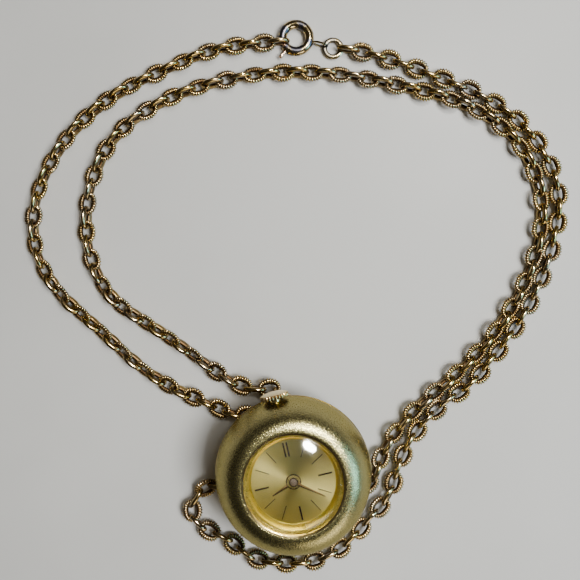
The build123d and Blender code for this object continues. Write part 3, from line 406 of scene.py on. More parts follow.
class Finish:
    """A node material under way: the shader and the helpers that feed it."""

    def __init__(self, name, metallic, roughness, base):
        self.material = bpy.data.materials.get(name) or bpy.data.materials.new(name)
        self.material.use_nodes = True
        self.tree = self.material.node_tree
        self.tree.nodes.clear()
        self.shader = self.add("ShaderNodeBsdfPrincipled")
        out = self.add("ShaderNodeOutputMaterial")
        self.link(self.shader.outputs[0], out.inputs["Surface"])
        self.set("Metallic", metallic)
        self.set("Roughness", roughness)
        self.set("Base Color", (*base, 1))
        self.place = self.add("ShaderNodeTexCoord").outputs["Object"]

    def add(self, kind, **values):
        node = self.tree.nodes.new(kind)
        for name, value in values.items():
            setattr(node, name, value)
        return node

    def set(self, socket, value):
        self.shader.inputs[socket].default_value = value

    def link(self, source, target):
        self.tree.links.new(source, target)

    def moved(self, scale, rotation=(0, 0, 0)):
        """The place on the piece, drawn out or turned."""
        mapping = self.add("ShaderNodeMapping")
        self.link(self.place, mapping.inputs["Vector"])
        mapping.inputs["Scale"].default_value = scale
        mapping.inputs["Rotation"].default_value = rotation
        return mapping.outputs["Vector"]

    def noise(self, grain, detail, vector=None):
        """Noise whose spots are about the grain in size."""
        node = self.add("ShaderNodeTexNoise")
        self.link(vector or self.place, node.inputs["Vector"])
        node.inputs["Scale"].default_value = 1 / grain
        node.inputs["Detail"].default_value = detail
        return node.outputs["Fac"]

    def attribute(self, name):
        return self.add("ShaderNodeAttribute", attribute_name=name).outputs["Fac"]

    def sum(self, operation, first, second, clamp=False):
        node = self.add("ShaderNodeMath", operation=operation, use_clamp=clamp)
        for socket, value in zip(node.inputs, (first, second)):
            if isinstance(value, (int, float)):
                socket.default_value = value
            else:
                self.link(value, socket)
        return node.outputs[0]

    def spread(self, value, low, high, new_low, new_high):
        """The value moved from one span to another."""
        node = self.add("ShaderNodeMapRange")
        self.link(value, node.inputs["Value"])
        ends = ("From Min", low), ("From Max", high), ("To Min", new_low), ("To Max", new_high)
        for name, number in ends:
            node.inputs[name].default_value = number
        return node.outputs["Result"]

    def mix(self, share, first, second):
        """Colour between two, each a colour or a socket."""
        node = self.add("ShaderNodeMix", data_type="RGBA")
        self.link(share, node.inputs["Factor"])
        for socket, value in zip((node.inputs[6], node.inputs[7]), (first, second)):
            if isinstance(value, bpy.types.NodeSocket):
                self.link(value, socket)
            else:
                socket.default_value = (*value, 1)
        return node.outputs[2]

    def colour_from(self, socket):
        self.link(socket, self.shader.inputs["Base Color"])

    def roughness_from(self, socket):
        self.link(socket, self.shader.inputs["Roughness"])

    def bump(self, height, strength, distance):
        node = self.add("ShaderNodeBump")
        self.link(height, node.inputs["Height"])
        node.inputs["Strength"].default_value = strength
        node.inputs["Distance"].default_value = distance
        self.link(node.outputs["Normal"], self.shader.inputs["Normal"])


def shade(tone, factor):
    return tuple(min(1.0, c * factor) for c in tone)


def sandblasted(name, tone):
    """Fine matt gilt with a visible grain, a little uneven in tone."""
    f = Finish(name, 1.0, 0.3, tone)
    cloud = f.noise(7 * MM, 3)
    grain = f.noise(0.24 * MM, 2)
    fine = f.noise(0.1 * MM, 2)
    broad = f.mix(f.spread(cloud, *MIDDLE, 0, 1), shade(tone, 0.93), shade(tone, 1.06))
    f.colour_from(f.mix(f.spread(grain, *MIDDLE, 0, 1), shade(tone, 0.76), broad))
    f.roughness_from(f.spread(grain, *MIDDLE, 0.31, 0.21))
    f.bump(f.sum("ADD", grain, f.sum("MULTIPLY", fine, 0.4)), 0.7, 0.08 * MM)
    f.set("Specular Tint", (0.66, 0.6, 0.43, 1))
    return f.material


def polished(name, tone, roughness, wear, under=None):
    """Bright metal with hairlines and thin rougher patches in which an under colour shows: worn
    metal on most pieces, a painted dark reflection on the clasp.
    """
    f = Finish(name, 1.0, roughness, tone)
    patches = f.noise(1.8 * MM, 4)
    hairs = f.noise(0.3 * MM, 2, f.moved(scale=(1, 14, 3), rotation=(0, 0, 0.6)))
    few, many = (0.52, 0.72), (0.46, 0.56)
    # Wear patches, and on the clasp the painted dark reflection
    wear_and_dark_reflection = f.spread(patches, *(many if under else few), 0, wear)
    f.colour_from(f.mix(wear_and_dark_reflection, tone, under or shade(tone, 0.66)))
    fine = f.spread(hairs, *MIDDLE, roughness, roughness + 0.09)
    f.roughness_from(f.sum("ADD", fine, f.sum("MULTIPLY", wear_and_dark_reflection, 0.22)))
    f.bump(hairs, 0.05, 0.02 * MM)
    return f.material


def tarnished(name, tone, recess, roughness):
    """Gold worn bright on the high places, darker in the hollows with brown tarnish and painted
    shade.
    """
    f = Finish(name, 1.0, roughness, tone)
    # Painted shade and brown tarnish: the recess mark darkens the hollows towards the recess colour
    hollow = f.spread(f.attribute("recess"), 0.2, 0.7, 0, 1)
    patches = f.noise(1.6 * MM, 4)
    worn = f.noise(9 * MM, 2)
    fine = f.noise(0.22 * MM, 2)
    dirt_and_shade = f.sum("ADD", hollow, f.spread(patches, 0.38, 0.72, 0, 0.6))
    dirt_and_shade = f.sum("ADD", dirt_and_shade, f.spread(fine, 0.4, 0.7, -0.06, 0.12), clamp=True)
    rubbed = (0.43, 0.36, 0.27)
    high = f.mix(f.spread(worn, 0.45, 0.65, 0, 0.6), tone, rubbed)
    f.colour_from(f.mix(dirt_and_shade, high, recess))
    f.roughness_from(f.spread(dirt_and_shade, 0, 1, roughness, 0.42))
    f.bump(fine, 0.12, 0.03 * MM)
    return f.material


def sunray(name, tone):
    """Dial metal brushed outwards from its middle."""
    f = Finish(name, 1.0, 0.36, tone)
    split = f.add("ShaderNodeSeparateXYZ")
    f.link(f.place, split.inputs[0])
    turn = f.sum("ARCTAN2", split.outputs["Y"], split.outputs["X"])
    strokes = f.add("ShaderNodeTexNoise", noise_dimensions="1D")
    strokes_to_a_radian = 90.0
    f.link(f.sum("MULTIPLY", turn, strokes_to_a_radian), strokes.inputs["W"])
    strokes.inputs["Scale"].default_value = 1
    strokes.inputs["Detail"].default_value = 4
    stroke = strokes.outputs["Fac"]
    age = f.noise(2.6 * MM, 5)
    brushed = f.mix(f.spread(stroke, 0.3, 0.7, 0, 1), shade(tone, 0.9), shade(tone, 1.08))
    f.colour_from(f.mix(f.spread(age, 0.56, 0.8, 0, 0.5), brushed, shade(tone, 0.7)))
    f.roughness_from(f.spread(stroke, 0.3, 0.7, 0.33, 0.39))
    f.bump(stroke, 0.05, 0.02 * MM)
    f.set("Anisotropic", 1.0)
    tangent = f.add("ShaderNodeTangent", direction_type="RADIAL", axis="Z")
    f.link(tangent.outputs[0], f.shader.inputs["Tangent"])
    return f.material


def dark_satin(name, tone):
    """Dark satin metal of the hour lines, and on the hands the painted shade of their outlines and
    shaded sides.
    """
    f = Finish(name, 0.9, 0.42, tone)
    spots = f.noise(0.5 * MM, 3)
    f.colour_from(f.mix(f.spread(spots, 0.45, 0.7, 0, 1), tone, shade(tone, 2.4)))
    f.roughness_from(f.spread(spots, 0.3, 0.7, 0.38, 0.5))
    return f.material


def clear(name):
    """Clear acrylic with the faintest hairlines."""
    f = Finish(name, 0.0, 0.02, (0.985, 0.99, 0.98))
    hairs = f.noise(0.5 * MM, 3, f.moved(scale=(1, 20, 1), rotation=(0, 0, 1.1)))
    f.roughness_from(f.spread(hairs, 0.5, 0.75, 0.06, 0.11))
    f.set("IOR", 1.49)
    f.set("Transmission Weight", 1.0)
    return f.material


def brushed(name, tone, roughness, direction):
    """Movement metal with straight brushing."""
    f = Finish(name, 1.0, roughness, tone)
    lines = f.noise(0.9 * MM, 3, f.moved(scale=direction))
    f.colour_from(f.mix(f.spread(lines, *MIDDLE, 0, 1), shade(tone, 0.85), tone))
    f.roughness_from(f.spread(lines, *MIDDLE, roughness, roughness + 0.14))
    f.bump(lines, 0.08, 0.02 * MM)
    return f.material


def ruby(name):
    """Polished synthetic ruby, deeper in places."""
    f = Finish(name, 0.0, 0.08, (0.42, 0.01, 0.05))
    depth = f.noise(0.4 * MM, 2)
    f.colour_from(f.mix(depth, (0.30, 0.005, 0.03), (0.62, 0.03, 0.10)))
    f.set("Transmission Weight", 0.3)
    return f.material


def table_top(name, tone):
    """Pale matt table with faint mottling."""
    f = Finish(name, 0.0, 0.62, tone)
    cloud = f.noise(38 * MM, 3)
    f.colour_from(f.mix(f.spread(cloud, *MIDDLE, 0, 1), shade(tone, 0.965), shade(tone, 1.03)))
    f.roughness_from(f.spread(cloud, 0.3, 0.7, 0.55, 0.68))
    return f.material


# The chain


def route_line(points):
    """Points read from the smooth spline that has the route as its control points."""
    curve = bpy.data.curves.new("route", "CURVE")
    curve.dimensions = "3D"
    curve.resolution_u = 16
    spline = curve.splines.new("NURBS")
    spline.points.add(len(points) - 1)
    for i, (x, y) in enumerate(points):
        height = FOLD_Z if i < FOLD_POINTS else LINK_Z
        spline.points[i].co = (x * MM, y * MM, height * MM, 1)
    spline.order_u = 3
    spline.use_endpoint_u = True
    holder = bpy.data.objects.new("route", curve)
    mesh = bpy.data.meshes.new_from_object(holder)
    line = [v.co.copy() for v in mesh.vertices]
    bpy.data.objects.remove(holder)
    bpy.data.curves.remove(curve)
    bpy.data.meshes.remove(mesh)
    return line


def along(line, distances):
    """Places at the distances along a line of points."""
    places, walked, i = [], 0.0, 0
    for distance in distances:
        while i < len(line) - 2 and walked + (line[i + 1] - line[i]).length < distance:
            walked += (line[i + 1] - line[i]).length
            i += 1
        step = line[i + 1] - line[i]
        places.append(line[i] + step * min(1.0, (distance - walked) / step.length))
    return places


def line_length(line):
    return sum((b - a).length for a, b in zip(line, line[1:]))


def oval_link(chain, ribbed):
    """One link lying flat along X: an oval of wire, milled round its rim if it is ribbed."""
    rib_steps, plain_steps = 4, 24
    steps = rib_steps * chain.ribs if ribbed else plain_steps
    width = chain.link_width if ribbed else chain.plain_width
    half_length, half_wire = chain.link_length / 2, chain.wire / 2
    deselect()
    bpy.ops.mesh.primitive_torus_add(
        major_segments=steps,
        minor_segments=6,
        major_radius=half_length,
        minor_radius=half_wire,
    )
    link = bpy.context.object
    reach = (chain.link_length - chain.wire) / 2, (width - chain.side_wire) / 2
    fuller = chain.side_wire / chain.wire - 1
    barrel = 0.04
    hollow = link.data.attributes.new("recess", "FLOAT", "POINT")
    for i, vertex in enumerate(link.data.vertices):
        turn = atan2(vertex.co.y, vertex.co.x)
        out = off_axis(vertex.co) - half_length
        # Sides a little fuller than an ellipse's, as on a barrel
        full = 1 + barrel * sin(2 * turn) ** 2
        path = Vector((reach[0] * cos(turn), reach[1] * sin(turn), 0)) * full
        away = Vector((cos(turn) / reach[0], sin(turn) / reach[1], 0)).normalized()
        outer = max(0.0, out / half_wire)
        inner = max(0.0, -out / half_wire)
        valley = ribbed and round(turn / (2 * pi) * steps) % rib_steps > 1
        # Valleys are deepest on the outside and fade towards the hole
        sink = chain.rib_depth * (0.6 + 0.4 * outer - 0.5 * inner) if valley else 0.0
        size = 1 - sink / half_wire
        broad = 1 + fuller * sin(turn) ** 2
        vertex.co = path + away * out * size * broad + Vector((0, 0, vertex.co.z * size))
        # Painted shade and tarnish: ribbed links darker on their insides, where the next links lie,
        # and in the rib valleys; plain links a little darker all over and on their insides
        dark = 0.8 * inner + (0.9 if valley else 0.06)
        hollow.data[i].value = min(1.0, dark if ribbed else 0.6 * inner + 0.22)
    return link


def strand(context, route, seed):
    """Ribbed and plain links in turn along a route, with the line they follow."""
    chain = context.scene.watch_chain
    upright_links = 6
    line = route_line(route)
    total = line_length(line)
    links = 2 * round(total / chain.pitch / 2)
    joints = along(line, [total * i / links for i in range(links + 1)])
    patterns = (oval_link(chain, True), oval_link(chain, False))
    rows = ([], [])
    draw = random.Random(seed)
    for i, (a, b) in enumerate(zip(joints, joints[1:])):
        ahead = (b - a).normalized()
        across = Vector((0, 0, 1)).cross(ahead).normalized()
        upright = ahead.cross(across)
        # Links near the ends stand straight in the rings that hold them
        run_in = min(1.0, min(i, links - 1 - i) / upright_links)
        middle = (a + b) / 2
        # At the lower left the links are rolled, so that the strands look like a rope
        room = min(middle.y - chain.roll_from, chain.roll_to - middle.y, -middle.x)
        rolled = min(1.0, max(0.0, room / chain.roll_over))
        lean = (chain.face_turn + chain.roll * rolled) * run_in + radians(90) * (i % 2)
        lean += chain.sway * draw.uniform(-1, 1) * run_in
        facing = upright * cos(lean) + across * sin(lean)
        side = facing.cross(ahead)
        place = Matrix.Translation(middle) @ Matrix((ahead, side, facing)).transposed().to_4x4()
        link = patterns[i % 2].copy()
        link.data = patterns[i % 2].data.copy()
        link.data.transform(place)
        context.scene.collection.objects.link(link)
        rows[i % 2].append(link)
    for pattern in patterns:
        bpy.data.objects.remove(pattern)
    return line, total, [joined(row) for row in rows]


class ChainOperator(bpy.types.Operator):
    """Builds both strands of the chain, link by link"""

    bl_idname = "watch.chain"
    bl_label = "Chain"

    def execute(self, context):
        chain = context.scene.watch_chain
        duller = shade(chain.gold, 0.85)
        gold = tarnished("worn_gold_ribs", chain.gold, chain.recess, roughness=0.19)
        plain_gold = tarnished("worn_gold_wire", duller, chain.recess, roughness=0.1)
        for name, route, seed, far_end in (
            ("short_strand", SHORT_ROUTE, 3, "connector"),
            ("long_strand", LONG_ROUTE, 8, "fitting"),
        ):
            line, total, (ribbed, plain) = strand(context, route, seed)
            for piece, kind, material, slot in (
                (ribbed, "ribbed_links", gold, "chain_ribbed"),
                (plain, "plain_links", plain_gold, "chain_gilt"),
            ):
                node = f"{name}_{kind}"
                hang(piece, f"{node}_worn", CASE, [material], [node], limit=0)
                only(piece)
                bpy.ops.object.shade_smooth()
        return {"FINISHED"}


# The case

SHELL_SIDES = 128


def beside(place, out, up):
    """A place on an outline that lies a few millimetres from another."""
    return place[0] + out * MM, place[1] + up * MM


def dome(case):
    """The rounded side of the front shell, from the seam to the crest."""
    steps = 16
    centre = (case.crest_radius, case.seam)
    return arc(centre, (case.radius - case.crest_radius, case.crest - case.seam), 0, 90, steps)


class CaseOperator(bpy.types.Operator):
    """Builds the two shells of the case"""

    bl_idname = "watch.case"
    bl_label = "Case"

    def execute(self, context):
        case = context.scene.watch_case
        blasted = sandblasted("blasted_gilt", case.gilt)
        bright = polished("rim_gilt", case.polish, roughness=0.09, wear=0.25)
        aperture_z = case.crest - case.aperture_drop
        soft = 0.16 * MM
        ring_seat = 0.3 * MM
        collar_wall = 0.9 * MM
        outside = dome(case)
        rim = [
            (case.aperture + case.bevel, case.crest - 0.1 * soft),
            (case.aperture + 0.5 * soft, case.crest - 0.36 * case.bevel),
            (case.aperture, aperture_z - 0.5 * soft),
        ]
        floor = RING_LOW.z - ring_seat
        collar = case.aperture + collar_wall
        inner_radii = (
            case.radius - case.wall - case.crest_radius,
            case.crest - case.wall - case.seam,
        )
        liner = arc((case.crest_radius, case.seam), inner_radii, 60, 0, 6)
        inside = [(case.aperture, floor), (collar, floor), (collar, liner[0][1])] + liner
        front = turned(outside + rim + inside, SHELL_SIDES, closed=True)
        rim_r = case.aperture + case.bevel * 0.98
        paint(front, lambda c: off_axis(c) < rim_r and c.z > floor, 1)
        hang(front, "front_shell_blasted", CASE, [blasted, bright], ["front_shell"])

        flange_r = BACK_HIGH.x
        round_r = 0.08 * MM
        flat = (case.flat_radius, 0.0)
        foot = beside(flat, 0.4, 1.5)
        arch = (10.2 * MM, 3.9 * MM)
        belly = (13.4 * MM, 6.3 * MM)
        outline = [
            (case.radius - case.wall, case.seam),
            (flange_r - round_r, case.seam),
            (flange_r, case.seam - round_r),
            (flange_r, case.seam - case.flange),
            beside(belly, 0.3, 0.35),
            belly,
            beside(belly, -0.6, -0.3),
            beside(arch, 0.5, 0.25),
            arch,
            beside(arch, -0.4, -0.55),
            foot,
            beside(flat, 0.28, 0.5),
            beside(flat, 0, 0.1),
            beside(flat, -0.15, 0),
            (case.flat_radius * 0.6, 0.0),
            (case.flat_radius * 0.2, 0.0),
        ]
        back = turned(outline, SHELL_SIDES, pole=True)
        apply(back, "SOLIDIFY", thickness=case.wall * 0.8, offset=-1, use_even_offset=False)
        paint(back, lambda c: c.z > case.seam - case.flange * 1.05, 1)
        hang(back, "back_shell_blasted", CASE, [blasted, bright], ["back_shell"])
        return {"FINISHED"}


# Crystal, ring, dial and hour lines


class CrystalOperator(bpy.types.Operator):
    """Builds the domed crystal and the polished ring below it"""

    bl_idname = "watch.crystal"
    bl_label = "Crystal and ring"

    def execute(self, context):
        dial = context.scene.watch_dial
        radius = CRYSTAL_HIGH.x
        shoulder = CRYSTAL_HIGH.z - dial.crystal_rise
        rim = 0.15 * MM
        steps, sides = 12, 96
        shares = [1 - i / steps for i in range(steps)]
        line = [(radius * out, shoulder + dial.crystal_rise * (1 - out**2)) for out in shares]
        crystal = turned([(radius, shoulder - rim)] + line, sides, pole=True)
        apply(crystal, "SOLIDIFY", thickness=dial.crystal_wall, offset=-1, use_even_offset=False)
        acrylic = clear("clear_acrylic")
        hang(crystal, "crystal_clear", CASE, [acrylic], ["crystal"], limit=60)

        outer = RING_HIGH.x
        top, low = RING_HIGH.z, RING_LOW.z
        seat = outer - 0.5 * MM
        lip = low + rim
        inner = dial.view_radius
        slope = [
            (seat, top),
            (seat - 0.1 * MM, top - 0.08 * MM),
            (inner + 0.22 * MM, lip + 0.22 * MM),
            (inner + 0.06 * MM, lip + 0.05 * MM),
            (inner, lip),
        ]
        corners = [(inner, low), (outer, low)]
        piece = turned([(outer, top)] + slope + corners, SHELL_SIDES, closed=True)
        gilt = polished("dial_ring_gilt", dial.ring, roughness=0.24, wear=0.2)
        hang(piece, "dial_ring_polished", CASE, [gilt], ["dial_ring"])
        return {"FINISHED"}


class DialOperator(bpy.types.Operator):
    """Finishes the dial and its hour lines"""

    bl_idname = "watch.dial"
    bl_label = "Dial"

    def execute(self, context):
        dial = context.scene.watch_dial
        dress("dial", sunray("sunray_gold", dial.gold))
        dress("hour_markers", dark_satin("hour_line_dark", dial.dark))
        return {"FINISHED"}


def dress(node, material):
    """Gives a solid of the part its finish."""
    materials = frame["nodes"][node].data.materials
    materials.clear()
    materials.append(material)


# The hands


def pointer(boss, length, width, low, high, turn):
    """Tapered hand from inside its disc outwards, with a ridge along its top."""
    tip_share = 0.28
    deselect()
    size = (length, width, high - low)
    bpy.ops.mesh.primitive_cube_add(size=1, location=(length / 2, 0, (low + high) / 2), scale=size)
    hand = added()
    edit(hand)
    choose(lambda c: c.x > length / 2)
    bpy.ops.transform.resize(value=(1, tip_share, 1), center_override=(length, 0, low))
    choose_all()
    bpy.ops.mesh.bisect(plane_co=(0, 0, 0), plane_no=(0, 1, 0))
    choose(lambda c: abs(c.y) > width * 0.01 and c.z > (low + high) / 2)
    bpy.ops.transform.translate(value=(0, 0, -(high - low) * 0.55))
    close_up()
    edit(hand)
    choose(lambda c: c.x < length / 2)
    bpy.ops.transform.translate(value=(boss * 0.9, 0, 0))
    leave_edit()
    hand.data.transform(Matrix.Rotation(turn, 4, "Z"))
    return hand


def disc(radius, low, high, soft, sides=48, hole=0.0):
    """Flat round disc with softened rims."""
    inner = hole or radius * 0.25
    rings = [
        (inner, low),
        (radius - soft, low),
        (radius, low + (high - low) * 0.3),
        (radius, high - (high - low) * 0.3),
        (radius - soft, high),
        (inner, high),
    ]
    if hole:
        return turned(rings, sides, closed=True)
    piece = turned(rings, sides)
    edit(piece)
    for level in (low, high):
        choose(lambda c: abs(c.z - level) < MERGE and off_axis(c) < inner * 1.01)
        bpy.ops.mesh.edge_face_add()
    close_up()
    return piece


class HandsOperator(bpy.types.Operator):
    """Builds the two hands with their discs"""

    bl_idname = "watch.hands"
    bl_label = "Hands"

    def execute(self, context):
        hands, dial = context.scene.watch_hands, context.scene.watch_dial
        dark = dark_satin("hand_dark", hands.dark)
        bronze = polished("hand_bronze", hands.bronze, roughness=0.34, wear=0.3)
        gilt = polished("hand_disc_gilt", shade(dial.gold, 0.95), roughness=0.22, wear=0.3)
        cap = polished("hand_cap_rosy", (0.46, 0.36, 0.29), roughness=0.26, wear=0.3)
        thick = HOUR_HIGH.z - HOUR_LOW.z
        top = HOUR_HIGH.z
        rim = 0.2 * MM
        hub_hole = 0.75 * MM

        def lit(c, turn):
            """Whether a place lies on the left of a hand that points along the turn."""
            return c.y * cos(turn) - c.x * sin(turn) > 0

        boss, turn = hands.hour_boss, hands.hour_turn
        hour = joined([
            disc(boss, HOUR_LOW.z, top, rim, hole=hub_hole),
            pointer(boss, hands.hour_length, hands.width, HOUR_LOW.z, top, turn),
        ])
        # Painted shade: a dark rim round the disc and a dark half of the hand, away from the light;
        # the half towards the light is bronze
        paint(hour, lambda c: off_axis(c) > boss - rim, 1)
        paint(hour, lambda c: off_axis(c) > boss and not lit(c, turn), 2)
        hang(hour, "hour_hand_finished", "hour", [gilt, dark, bronze], ["hour_hand"])
        boss, turn = hands.minute_boss, hands.minute_turn
        low, high = MINUTE_LOW.z, MINUTE_LOW.z + thick
        minute = joined([
            disc(boss, low, high, rim),
            pointer(boss, hands.minute_length, hands.width, low, high, turn),
            disc(boss * 0.5, high, MINUTE_HIGH.z, rim * 0.5, sides=32),
        ])
        # Painted shade: a dark rim round the disc and a dark half of the hand, away from the light;
        # the half towards the light is bronze
        paint(minute, lambda c: off_axis(c) > boss - rim, 1)
        paint(minute, lambda c: off_axis(c) > boss and lit(c, turn), 2)
        finishes = [cap, dark, bronze]
        hang(minute, "minute_hand_finished", "minute", finishes, ["minute_hand"])
        return {"FINISHED"}


# Crown, bow and the ring under the crown


class CrownOperator(bpy.types.Operator):
    """Builds the fluted crown and the tube it screws over"""

    bl_idname = "watch.crown"
    bl_label = "Crown"

    def execute(self, context):
        crown, case = context.scene.watch_crown, context.scene.watch_case
        start, end = CROWN_LOW.y, CROWN_HIGH.y
        depth = end - start
        soft = 0.12 * MM
        lip = depth - crown.dome
        rings = [
            (crown.radius * 0.42, 0.0),
            (crown.radius - 1.5 * soft, 0.0),
            (crown.radius, soft),
            (crown.radius, lip - soft),
            (crown.radius - 0.7 * soft, lip),
            (crown.radius * 0.75, lip + crown.dome * 0.5),
            (crown.radius * 0.5, lip + crown.dome * 0.8),
            (crown.radius * 0.25, depth),
        ]
        piece = turned(rings, 4 * crown.flutes, pole=True)
        step = 2 * pi / crown.flutes
        floor_r = crown.radius * 0.9

        flute_from, flute_to = 0.3, 0.95

        def in_flute(c):
            part = (atan2(c.y, c.x) / step) % 1
            return off_axis(c) > floor_r and flute_from < part < flute_to

        edit(piece)
        choose(in_flute)
        cut = 1 - crown.flute_depth / crown.radius
        bpy.ops.transform.resize(value=(cut, cut, 1), center_override=(0, 0, 0))
        leave_edit()
        apply(piece, "BEVEL", width=0.03 * MM, segments=1, limit_method="ANGLE")
        # Painted shade and tarnish in the flute floors, given as a recess mark
        dirt_and_shade = 0.8
        dirt_from, dirt_to = crown.radius * 0.85, crown.radius - crown.flute_depth / 2

        def flute_dirt_and_shade(c):
            """Tarnish and painted shade in the flutes, but not on the crown's end."""
            return dirt_and_shade if dirt_from < off_axis(c) < dirt_to and c.z < lip - 0.5 * soft else 0.0

        note(piece, "recess", flute_dirt_and_shade)
        lie_down = Matrix.Rotation(radians(-90), 4, "X")
        piece.data.transform(Matrix.Translation((0, start, STEM_Z)) @ lie_down)
        rim = tarnished("crown_gilt", (0.84, 0.58, 0.18), (0.12, 0.06, 0.015), roughness=0.16)
        face = polished("crown_face_gilt", (0.84, 0.70, 0.42), roughness=0.3, wear=0.2)
        paint(piece, lambda c: c.y > end - crown.dome - 0.4 * soft, 1)
        hang(piece, "crown_fluted", "crown", [rim, face], ["crown"], limit=40)

        tube_low, tube_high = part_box("crown_tube")
        low, high = tube_low.y, tube_high.y
        bore = crown.tube_radius * 0.63
        outer = crown.tube_radius
        corners = [(bore, low), (outer, low), (outer, high), (bore, high)]
        tube = turned(corners, sides=40, closed=True)
        tube.data.transform(Matrix.Translation((0, 0, STEM_Z)) @ lie_down)
        gilt = polished("tube_gilt", case.polish, roughness=0.12, wear=0.3)
        hang(tube, "crown_tube_polished", CASE, [gilt], ["crown_tube"])
        return {"FINISHED"}


class BowOperator(bpy.types.Operator):
    """Builds the bow, the ring that hangs in it and the link that stands in the ring"""

    bl_idname = "watch.bow"
    bl_label = "Bow and ring"

    def execute(self, context):
        chain = context.scene.watch_chain
        gold = polished("bow_gilt", shade(chain.gold, 0.85), roughness=0.14, wear=0.6)
        wire = BOW_HIGH.x - BOW_LOW.x
        half = (BOW_HIGH.y - BOW_LOW.y - wire) / 2
        base = BOW_LOW.z + wire / 2
        bow = ring(half, wire, (0, BOW_Y, base + half), rotation=(0, radians(90), 0), sides=40)
        edit(bow)
        choose(lambda c: c.z > base + half + MERGE)
        bpy.ops.mesh.delete(type="VERT")
        choose(lambda c: c.z > base + half - MERGE)
        rise = BOW_HIGH.z - base - half
        bpy.ops.mesh.extrude_region_move(TRANSFORM_OT_translate={"value": (0, 0, rise)})
        choose_all()
        bpy.ops.mesh.fill_holes(sides=0)
        close_up()
        hang(bow, "bow_rounded", CASE, [gold], ["bow"])

        middle = (BAIL_LOW + BAIL_HIGH) / 2
        wire = BAIL_HIGH.y - BAIL_LOW.y
        radius = (BAIL_HIGH.x - BAIL_LOW.x - wire) / 2
        centre = (middle.x, middle.y, BAIL_LOW.z + radius + wire / 2)
        bail = ring(radius, wire, centre, rotation=(radians(90), 0, 0))
        hang(bail, "bail_ring_round", CASE, [gold], ["bail_ring"])

        link = oval_link(chain, True)
        turn = Matrix(((0, 0, 1), (1, 0, 0), (0, 1, 0))).to_4x4()
        link.data.transform(Matrix.Translation((0, BOW_Y, FOLD_Z * MM)) @ turn)
        worn = tarnished("worn_gold_fold", chain.gold, chain.recess, roughness=0.22)
        hang(link, "fold_link_worn", CASE, [worn], ["fold_link"], limit=60)
        return {"FINISHED"}


# The clasp


def clasp_centre():
    low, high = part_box("clasp_tube")
    clasp = bpy.context.scene.watch_clasp
    reach = clasp.ring_radius + clasp.tube
    return Vector((low.x + reach, low.y + reach, (low.z + high.z) / 2))


def bent_tube(ring_radius, radius, start, turn, steps, sides, keep=None):
    """Round tube bent about Z, open at its ends; keep drops faces by their place."""
    deselect()
    bpy.ops.mesh.primitive_circle_add(
        vertices=sides,
        radius=radius,
        location=(ring_radius, 0, 0),
        rotation=(radians(90), 0, 0),
    )
    piece = added()
    piece.data.transform(Matrix.Rotation(start, 4, "Z"))
    edit(piece)
    choose_all()
    bpy.ops.mesh.spin(steps=steps, angle=turn, center=(0, 0, 0), axis=(0, 0, -1))
    choose_all()
    bpy.ops.mesh.remove_doubles(threshold=MERGE)
    bpy.ops.mesh.normals_make_consistent(inside=False)
    if keep:
        mesh = bmesh.from_edit_mesh(piece.data)
        drop = [f for f in mesh.faces if not keep(f.calc_center_median())]
        bmesh.ops.delete(mesh, geom=drop, context="FACES")
        bmesh.update_edit_mesh(piece.data)
    leave_edit()
    return piece


